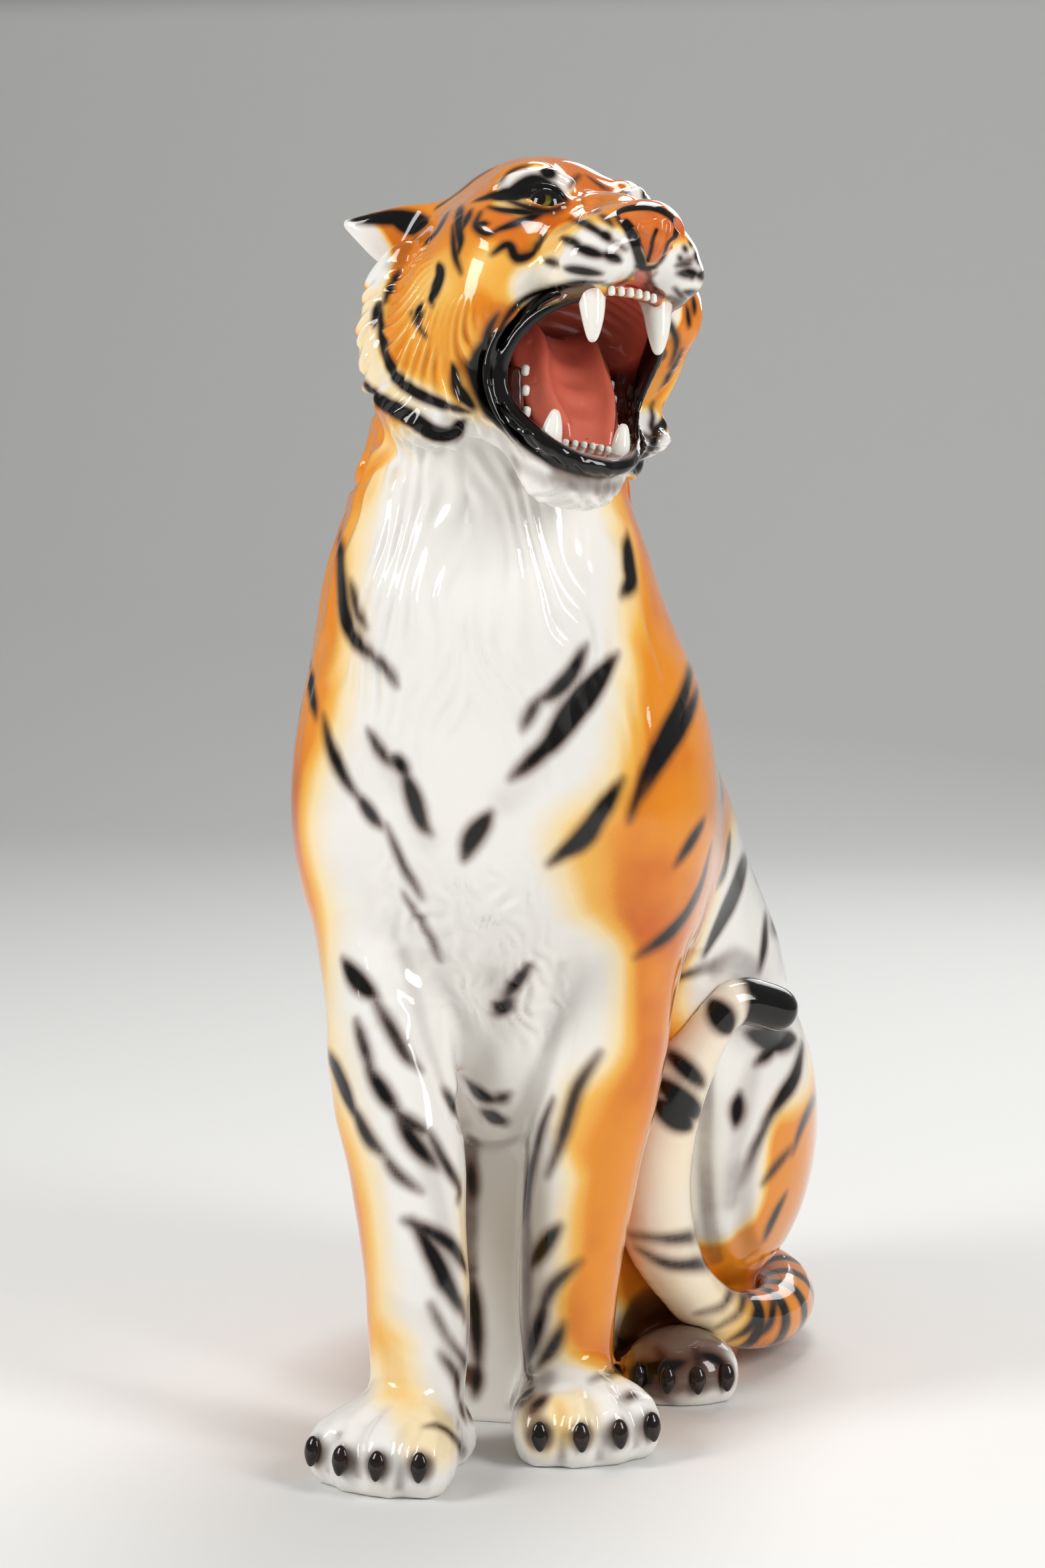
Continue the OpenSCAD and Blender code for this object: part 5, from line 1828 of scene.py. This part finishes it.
class TIGER_OT_mouth(bpy.types.Operator):
    """Lining of the mouth with the ridges of the palate, and the tongue."""

    bl_idname = "tiger.mouth"
    bl_label = "Mouth"

    def execute(self, context):
        glaze = mouth_glaze(context.scene.tiger_colours)
        lining = lining_skin(context.scene.tiger_sizes.mouth_grain)
        finish_piece(lining, glaze, "mouth_glaze", "mouth_lining")
        tongue = add_object("tongue_skin", tongue_shape())
        height = to_head(corners_of(tongue.data))[:, 2]
        # Painted shade: the tongue darkens towards its root, deeper in the mouth
        keep_layer(tongue.data, "depth", 0.5 * smooth_step(-85.0, -45.0, height))
        keep_layer(tongue.data, "lip", np.zeros(len(height)))
        finish_piece(tongue, glaze, "mouth_glaze", "tongue")
        return {"FINISHED"}


def add_ring(bm, sides, shape):
    """Edges of a closed ring whose corners a function places by the cosine and sine of their turn."""
    corners = bmesh.ops.create_circle(bm, segments=sides, radius=1.0)["verts"]
    edges = list(dict.fromkeys(edge for corner in corners for edge in corner.link_edges))
    for corner in corners:
        corner.co = shape(corner.co.x, corner.co.y)
    return edges


def bridge(bm, rings):
    """Walls between rings, and a face over each end."""
    for first, second in zip(rings, rings[1:]):
        bmesh.ops.bridge_loops(bm, edges=first + second)
    bmesh.ops.edgeloop_fill(bm, edges=rings[0])
    bmesh.ops.edgeloop_fill(bm, edges=rings[-1])
    bmesh.ops.recalc_face_normals(bm, faces=bm.faces)


# The tongue in the head's frame, in mm: middle line from the tip to the root, with its half-widths
TONGUE_LINE = (
    (2, -35, -128), (1, -35, -116), (0, -33, -102), (-1, -30, -87),
    (-1, -26, -73), (0, -21, -58), (1, -13, -46), (2, 2, -38),
)
TONGUE_HALF_WIDTH = (24, 29, 33, 36, 37, 37, 37, 36)
TONGUE_THICK = 22.0
TONGUE_SIDES = 64
# Height of the ridges along its sides, and depth of the furrow between them
TONGUE_RIDGE = 7.0
TONGUE_FURROW = 3.5
# Where the ridges lie, as a share of the half-width, and how wide they and the furrow are
RIDGE_AT = 0.62
RIDGE_SPREAD = 0.17
FURROW_SPREAD = 0.3
# Waves of the ridges' place and of the furrow's depth: size, and angle in radians over the whole length
RIDGE_SWAY = (0.06, 11.0)
FURROW_WAVE = (1.2, 34.0)
# What the tip has of the thickness, the ridges and the furrow, and how fast that grows
TIP_THICK = (0.25, 9.0)
TIP_RIDGE = (0.2, 5.0)
TIP_FURROW = (0.0, 2.5)


def wave_at(share, size, angle):
    """Height of a wave at a share of a length."""
    return size * math.sin(share * angle)


def grown(share, first, rate):
    """A first share that grows to 1 along a length."""
    return min(1.0, first + rate * share)


def tongue_shape():
    """A trough-shaped tongue with a furrow along its middle."""
    line = curve_through(TONGUE_LINE, 12)
    shares = np.linspace(0, 1, len(line))
    widths = np.interp(shares, np.linspace(0, 1, len(TONGUE_HALF_WIDTH)), TONGUE_HALF_WIDTH)
    slopes = np.gradient(line, axis=0)
    slopes /= np.linalg.norm(slopes, axis=1)[:, None]
    bm = bmesh.new()
    rings = []
    for spot, width, slope, share in zip(line, widths, slopes, shares):
        up = np.array((0.0, -slope[2], slope[1]))
        thick = TONGUE_THICK * grown(share, *TIP_THICK)
        high = TONGUE_RIDGE * grown(share, *TIP_RIDGE)
        deep = (TONGUE_FURROW - wave_at(share, *FURROW_WAVE)) * grown(share, *TIP_FURROW)
        ridge_at = RIDGE_AT - wave_at(share, *RIDGE_SWAY)

        def shape(side, top):
            lift = 0.5 * thick * top
            if top > 0:
                lift += high * bell(abs(side), ridge_at, RIDGE_SPREAD)
                lift -= deep * bell(side, 0.0, FURROW_SPREAD)
            return from_head(spot + np.array((width * side, 0, 0)) + up * lift)

        rings.append(add_ring(bm, TONGUE_SIDES, shape))
    bridge(bm, rings)
    return bm


def islands(node):
    """Corners of each separate solid of a CAD node."""
    bm = copied((node,))
    solids = [np.array([tuple(corner.co) for corner in group]) for group in groups_of(bm)]
    bm.free()
    return solids


def axes_of(points):
    """Middle, axes from the longest to the shortest, and half sizes of a cloud of points."""
    middle = (points.min(0) + points.max(0)) / 2
    axes = np.linalg.svd(points - points.mean(0), full_matrices=False)[2]
    half = np.abs((points - middle) @ axes.T).max(0)
    return middle, axes, half


def tooth_glaze(colours):
    """Ivory with a blush at the roots."""
    glaze = Glaze("ivory_glaze")
    cloud = glaze.noise(160.0, 3.0)
    root = glaze.step(glaze.attribute("root") + (cloud - 0.5) * 0.5, 0.65, 1.1)
    tone = glaze.mix(root * 0.55, rgb(colours.ivory), rgb(colours.gum))
    return glaze.finish(tone, 0.08 + cloud * 0.06, cloud, 0.0003, 0.15)


# Share of a canine's length from its root, with the share of its width there
CANINE_PROFILE = (
    (-0.1, 1.3), (0.0, 1.22), (0.1, 1.08), (0.24, 0.96), (0.4, 0.88), (0.55, 0.77),
    (0.67, 0.65), (0.77, 0.53), (0.84, 0.42), (0.89, 0.3), (0.915, 0.18), (0.92, 0.06),
)
CANINE_SIDES = 28


def canine_shape(node):
    """A curved horn in the place of a CAD canine, and how near each corner is to its root."""
    middle, axes, half = axes_of(islands(node)[0])
    point_way = -1 if "upper" in node else 1
    way = axes[0] * point_way * np.sign(axes[0, 2])
    if node in TOOTH_SHIFT:
        middle = middle + HEAD_AXES @ np.array(TOOTH_SHIFT[node]) * MM
        half = half * LOWER_CANINE_SIZE
    root = middle - way * half[0]
    back = HEAD_AXES[:, 1] - way * (HEAD_AXES[:, 1] @ way)
    back /= np.linalg.norm(back)
    side = np.cross(way, back)
    width = 0.6 * (half[1] + half[2])
    bm = bmesh.new()
    rings = []
    for share, thick in CANINE_PROFILE:
        bend = 0.3 * half[0] * (share * share - share * 0.6)
        spot = root + way * (2 * half[0] * share) + back * bend

        def shape(cosine, sine):
            return spot + width * thick * (cosine * side + sine * back)

        rings.append(add_ring(bm, CANINE_SIDES, shape))
    bridge(bm, rings)
    return bm, root, way, 2 * half[0]


# How far the lower canines lie from the CAD's, in the head's frame and in mm
TOOTH_SHIFT = {"lower_left_canine": (-2, 5, 5), "lower_right_canine": (0, 4, 6)}
# Sizes of the teeth as shares of the CAD's
LOWER_CANINE_SIZE = 0.86
SMALL_TOOTH_SIZE = np.array((0.75, 0.85, 0.85))
INCISOR_SIZE = 0.78
# Share of a small tooth's half thickness that its edges are rounded by
TOOTH_ROUNDING = 0.85


def small_tooth(bm, points, middle, size):
    """A rounded block of a share of the size of a small CAD tooth."""
    _, axes, half = axes_of(points)
    half = half * SMALL_TOOTH_SIZE * size
    up = axes[0] * np.sign(axes[0] @ HEAD_AXES[:, 2])
    place = Matrix(np.column_stack((np.cross(axes[2], up), axes[2], up)).tolist()).to_4x4()
    place.translation = middle
    size = Matrix.Diagonal((2 * half[1], 2 * half[2], 2 * half[0], 1.0))
    block = bmesh.ops.create_cube(bm, size=1.0, matrix=place @ size)["verts"]
    edges = list(dict.fromkeys(edge for corner in block for edge in corner.link_edges))
    offset = TOOTH_ROUNDING * half[2]
    bmesh.ops.bevel(bm, geom=edges, offset=offset, segments=4, profile=0.5, affect="EDGES", material=-1)


def small_teeth(node):
    """The small teeth of a row, each with its CAD corners and the place of its middle."""
    if node in CHEEK_TEETH:
        places = drawn_back(CHEEK_TEETH[node])
        way = (0, 0, -1)
    else:
        places = INCISORS[node]
        way = (1, 0, 0)
    row = sorted(islands(node), key=lambda points: to_head(points.mean(0)) @ way)
    return zip(row, from_head(places))


class TIGER_OT_teeth(bpy.types.Operator):
    """Canines, incisors and cheek teeth."""

    bl_idname = "tiger.teeth"
    bl_label = "Teeth"

    def execute(self, context):
        glaze = tooth_glaze(context.scene.tiger_colours)
        for node in CANINES:
            bm, root, way, long = canine_shape(node)
            piece = add_object(node + "_skin", bm)
            keep_layer(piece.data, "root", 1 - (corners_of(piece.data) - root) @ way / long)
            finish_piece(piece, glaze, "tooth_glaze", node)
        for node in SMALL_TEETH:
            bm = bmesh.new()
            for points, middle in small_teeth(node):
                small_tooth(bm, points, middle, INCISOR_SIZE if node in INCISORS else 1.0)
            piece = add_object(node + "_skin", bm)
            keep_layer(piece.data, "root", np.full(len(piece.data.vertices), 0.35))
            finish_piece(piece, glaze, "tooth_glaze", node)
        return {"FINISHED"}


def eye_glaze(colours):
    """Black eyeball with an olive iris and a black pupil."""
    glaze = Glaze("iris_glaze")
    gaze = glaze.attribute("gaze")
    fibres = glaze.noise(700.0, 3.0)
    iris = glaze.mix(glaze.step(fibres, 0.3, 0.7), rgb(colours.iris), rgb(colours.dark_iris))
    tone = glaze.mix(glaze.step(gaze, 7.0, 8.6), iris, rgb(colours.black))
    tone = glaze.mix(glaze.step(gaze, 5.4, 4.2), tone, rgb(colours.black))
    tone = glaze.mix(glaze.attribute("shadow"), tone, rgb(colours.black))
    tone = glaze.mix(glaze.attribute("rim"), tone, rgb(colours.white))
    return glaze.finish(tone, 0.05 + fibres * 0.03)


class TIGER_OT_eyes(bpy.types.Operator):
    """Eyeballs with painted irises."""

    bl_idname = "tiger.eyes"
    bl_label = "Eyes"

    def execute(self, context):
        glaze = eye_glaze(context.scene.tiger_colours)
        for node, side in zip(EYES, (1, -1)):
            bm = bmesh.new()
            centre = from_head(EYE_AT * (side, 1, 1))
            bmesh.ops.create_icosphere(
                bm, subdivisions=6, radius=EYE_RADIUS * MM, matrix=Matrix.Translation(centre)
            )
            piece = add_object(node + "_ball", bm)
            along, up, out = eye_frame(corners_of(piece.data), -side)
            gaze = np.hypot(along - IRIS_AT[0], up - IRIS_AT[1])
            gaze = np.where(out > 0, gaze, 20.0)
            keep_layer(piece.data, "gaze", gaze)
            white = smooth_step(9.0, 10.0, gaze) * smooth_step(-1.0, -4.0, up)
            keep_layer(piece.data, "rim", 0.7 * white * (along > IRIS_AT[0]) * (out > 0))
            keep_layer(piece.data, "shadow", smooth_step(-1.5, 3.0, up))
            finish_piece(piece, glaze, "eye_glaze", node)
        return {"FINISHED"}


# The nose in the head's frame, in mm
NOSE_AT = np.array((0.0, -122.0, -11.5))
NOSE_HALF = np.array((25.5, 23.5, 20.5))
NOSTRIL = ((-11, -145, -11), (-18, -139, -12), (-18, -136, -20), (-11, -139, -26))
PHILTRUM = ((0, -146, -14), (0, -142, -24), (0, -132, -34))
# Dents of the nose: path, radius, depth
NOSE_DENTS = ((NOSTRIL, 5.5, 4.5), (mirrored(NOSTRIL), 5.5, 4.5), (PHILTRUM, 3.0, 1.6))


def leather_glaze(colours):
    """Two browns of the nose with its black outline."""
    glaze = Glaze("leather_glaze")
    cloud = glaze.noise(60.0, 3.0)
    tone = glaze.mix(glaze.step(cloud, 0.35, 0.65), rgb(colours.nose), rgb(colours.light_nose))
    tone = glaze.mix(glaze.attribute("dark"), tone, rgb(colours.black))
    return glaze.finish(tone, 0.1 + cloud * 0.06, glaze.noise(300.0, 2.0), 0.0003, 0.2)


class TIGER_OT_nose(bpy.types.Operator):
    """Nose leather with its nostrils and its black outline."""

    bl_idname = "tiger.nose"
    bl_label = "Nose"

    def execute(self, context):
        bm = bmesh.new()
        bmesh.ops.create_icosphere(bm, subdivisions=6, radius=1.0)
        for corner in bm.verts:
            x, y, z = corner.co
            slim = 1 - 0.5 * float(smooth_step(0.1, -1.0, np.array(z))) ** 1.2
            flat = 1 - 0.12 * abs(x)
            corner.co = from_head(NOSE_AT + NOSE_HALF * (x * slim, y * flat, z))
        tree = BVHTree.FromBMesh(bm)
        piece = add_object("nose_skin", bm)
        spots = corners_of(piece.data)
        local = to_head(spots)
        dent = np.zeros(len(spots))
        dark = np.zeros(len(spots))
        for path, radius, depth in NOSE_DENTS:
            numbers, gap, _ = near_path(local, curve_through(path, 6), radius)
            dent[numbers] = np.maximum(dent[numbers], depth * (1 - (gap / radius) ** 2) ** 1.5)
        for width, *pixels in NOSE_LINES:
            path = seen(tree, pixels)
            if len(path) > 1:
                numbers, gap, _ = near_path(spots, path, (width + 1.2) * MM)
                dark[numbers] = np.maximum(dark[numbers], smooth_step(width + 1.2, width - 0.6, gap / MM))
        spoke = local - NOSE_AT
        spoke /= np.linalg.norm(spoke, axis=1)[:, None]
        local -= spoke * dent[:, None]
        piece.data.vertices.foreach_set("co", from_head(local).astype(np.float32).ravel())
        keep_layer(piece.data, "dark", dark)
        finish_piece(piece, leather_glaze(context.scene.tiger_colours), "nose_glaze", "nose_pad")
        return {"FINISHED"}


# How much wider than the CAD's the claws are
CLAW_WIDTH = 1.2


class TIGER_OT_claws(bpy.types.Operator):
    """Claws of the four paws."""

    bl_idname = "tiger.claws"
    bl_label = "Claws"

    def execute(self, context):
        colours = context.scene.tiger_colours
        glaze = plain_glaze("black_claw_glaze", rgb(colours.claw), rgb(colours.light_claw), 90.0, 0.06)
        for node in CLAWS:
            bm = bmesh.new()
            for points in islands(node):
                middle, axes, half = axes_of(points)
                axes = axes * np.sign(axes[:, 2:3] + 1e-9)
                made = bmesh.ops.create_icosphere(bm, subdivisions=4, radius=1.0)["verts"]
                for corner in made:
                    share = np.array(corner.co)
                    taper = 1 - 0.25 * smooth_step(0.0, -1.0, share[0])
                    corner.co = middle + (share * half * (1, CLAW_WIDTH * taper, 1)) @ axes
            bmesh.ops.recalc_face_normals(bm, faces=bm.faces)
            finish_piece(add_object(node + "_skin", bm), glaze, "claw_glaze", node)
        return {"FINISHED"}


# The sweep behind the figure: half its width, its front edge, the start of its bend and the bend's radius
SWEEP_HALF = 7.0
SWEEP_FRONT = -6.0
SWEEP_BEND_AT = 2.6
SWEEP_RADIUS = 1.6
SWEEP_TOP = 6.0
# Soft boxes round the figure: name, place, width and height, power in watts
SOFT_BOXES = (
    ("key_box", (-1.9, -1.6, 1.7), (0.8, 1.5), 48.0),
    ("fill_box", (2.1, -1.1, 1.5), (0.7, 1.5), 38.0),
    ("top_box", (0.1, 0.9, 2.7), (1.0, 1.0), 26.0),
    ("back_box", (0.6, 2.2, 1.6), (1.4, 1.4), 18.0),
)
# What they point at, and the strength of the light from all round
LIT_SPOT = Vector((0, 0, 0.45))
SKY_STRENGTH = 0.32


def sweep_shape():
    """A floor that bends up into a wall."""
    bm = bmesh.new()
    ends = [bm.verts.new((x, SWEEP_FRONT, 0.0)) for x in (-SWEEP_HALF, SWEEP_HALF)]
    edge = bm.edges.new(ends)
    flat = bmesh.ops.extrude_edge_only(bm, edges=[edge])["geom"]
    corners = [v for v in flat if isinstance(v, bmesh.types.BMVert)]
    bmesh.ops.translate(bm, verts=corners, vec=(0, SWEEP_BEND_AT - SWEEP_FRONT, 0))
    bend = [e for e in flat if isinstance(e, bmesh.types.BMEdge) and all(v in corners for v in e.verts)]
    turned = bmesh.ops.spin(
        bm, geom=bend + corners, cent=(0, SWEEP_BEND_AT, SWEEP_RADIUS), axis=(1, 0, 0),
        angle=math.pi / 2, steps=24,
    )["geom_last"]
    last = [e for e in turned if isinstance(e, bmesh.types.BMEdge)]
    wall = bmesh.ops.extrude_edge_only(bm, edges=last)["geom"]
    tops = [v for v in wall if isinstance(v, bmesh.types.BMVert)]
    bmesh.ops.translate(bm, verts=tops, vec=(0, 0, SWEEP_TOP - SWEEP_RADIUS))
    bmesh.ops.recalc_face_normals(bm, faces=bm.faces)
    bmesh.ops.reverse_faces(bm, faces=[f for f in bm.faces if f.normal.z < -0.1])
    return bm


class TIGER_OT_stage(bpy.types.Operator):
    """Floor, lights and camera."""

    bl_idname = "tiger.stage"
    bl_label = "Stage"

    def execute(self, context):
        scene = context.scene
        colours = scene.tiger_colours
        floor = add_object("floor", sweep_shape())
        floor.data.polygons.foreach_set("use_smooth", [True] * len(floor.data.polygons))
        glaze = Glaze("floor_paint", coat=0.0)
        grain = glaze.noise(30.0, 2.0)
        floor.data.materials.append(glaze.finish(rgb(colours.floor), 0.6 + grain * 0.1))
        world = bpy.data.worlds.new("studio")
        world.use_nodes = True
        sky = world.node_tree.nodes["Background"].inputs
        sky["Color"].default_value = (*rgb(colours.sky), 1.0)
        sky["Strength"].default_value = SKY_STRENGTH
        scene.world = world
        for name, place, size, power in SOFT_BOXES:
            light = bpy.data.lights.new(name, "AREA")
            light.shape = "RECTANGLE"
            light.size, light.size_y = size
            light.energy = power
            lamp = bpy.data.objects.new(name, light)
            lamp.location = place
            lamp.rotation_euler = (LIT_SPOT - Vector(place)).to_track_quat("-Z", "Y").to_euler()
            scene.collection.objects.link(lamp)
        data = bpy.data.cameras.new("camera")
        data.lens = CAMERA_LENS
        data.sensor_fit = "VERTICAL"
        data.sensor_height = CAMERA_SENSOR
        camera = bpy.data.objects.new("camera", data)
        camera.location = CAMERA_AT
        camera.rotation_euler = CAMERA_TURN
        scene.collection.objects.link(camera)
        scene.camera = camera
        scene.view_settings.view_transform = "Standard"
        return {"FINISHED"}


class TIGER_PT_panel(bpy.types.Panel):
    """The pieces of the tiger, in the order in which they are made."""

    bl_label = "Ceramic tiger"
    bl_idname = "TIGER_PT_panel"
    bl_space_type = "VIEW_3D"
    bl_region_type = "UI"
    bl_category = "Tiger"

    def draw(self, context):
        for step in STEPS:
            self.layout.operator(step.bl_idname)


STEPS = (
    TIGER_OT_stage, TIGER_OT_body, TIGER_OT_head, TIGER_OT_tail, TIGER_OT_mouth,
    TIGER_OT_teeth, TIGER_OT_eyes, TIGER_OT_nose, TIGER_OT_claws,
)
CLASSES = (TigerSizes, TigerColours, *STEPS, TIGER_PT_panel)


def register():
    for cls in CLASSES:
        bpy.utils.register_class(cls)
    bpy.types.Scene.tiger_sizes = bpy.props.PointerProperty(type=TigerSizes)
    bpy.types.Scene.tiger_colours = bpy.props.PointerProperty(type=TigerColours)


def unregister():
    del bpy.types.Scene.tiger_colours
    del bpy.types.Scene.tiger_sizes
    for cls in reversed(CLASSES):
        bpy.utils.unregister_class(cls)


def main():
    register()
    for step in STEPS:
        family, name = step.bl_idname.split(".")
        getattr(getattr(bpy.ops, family), name)()


if __name__ == "__main__":
    main()
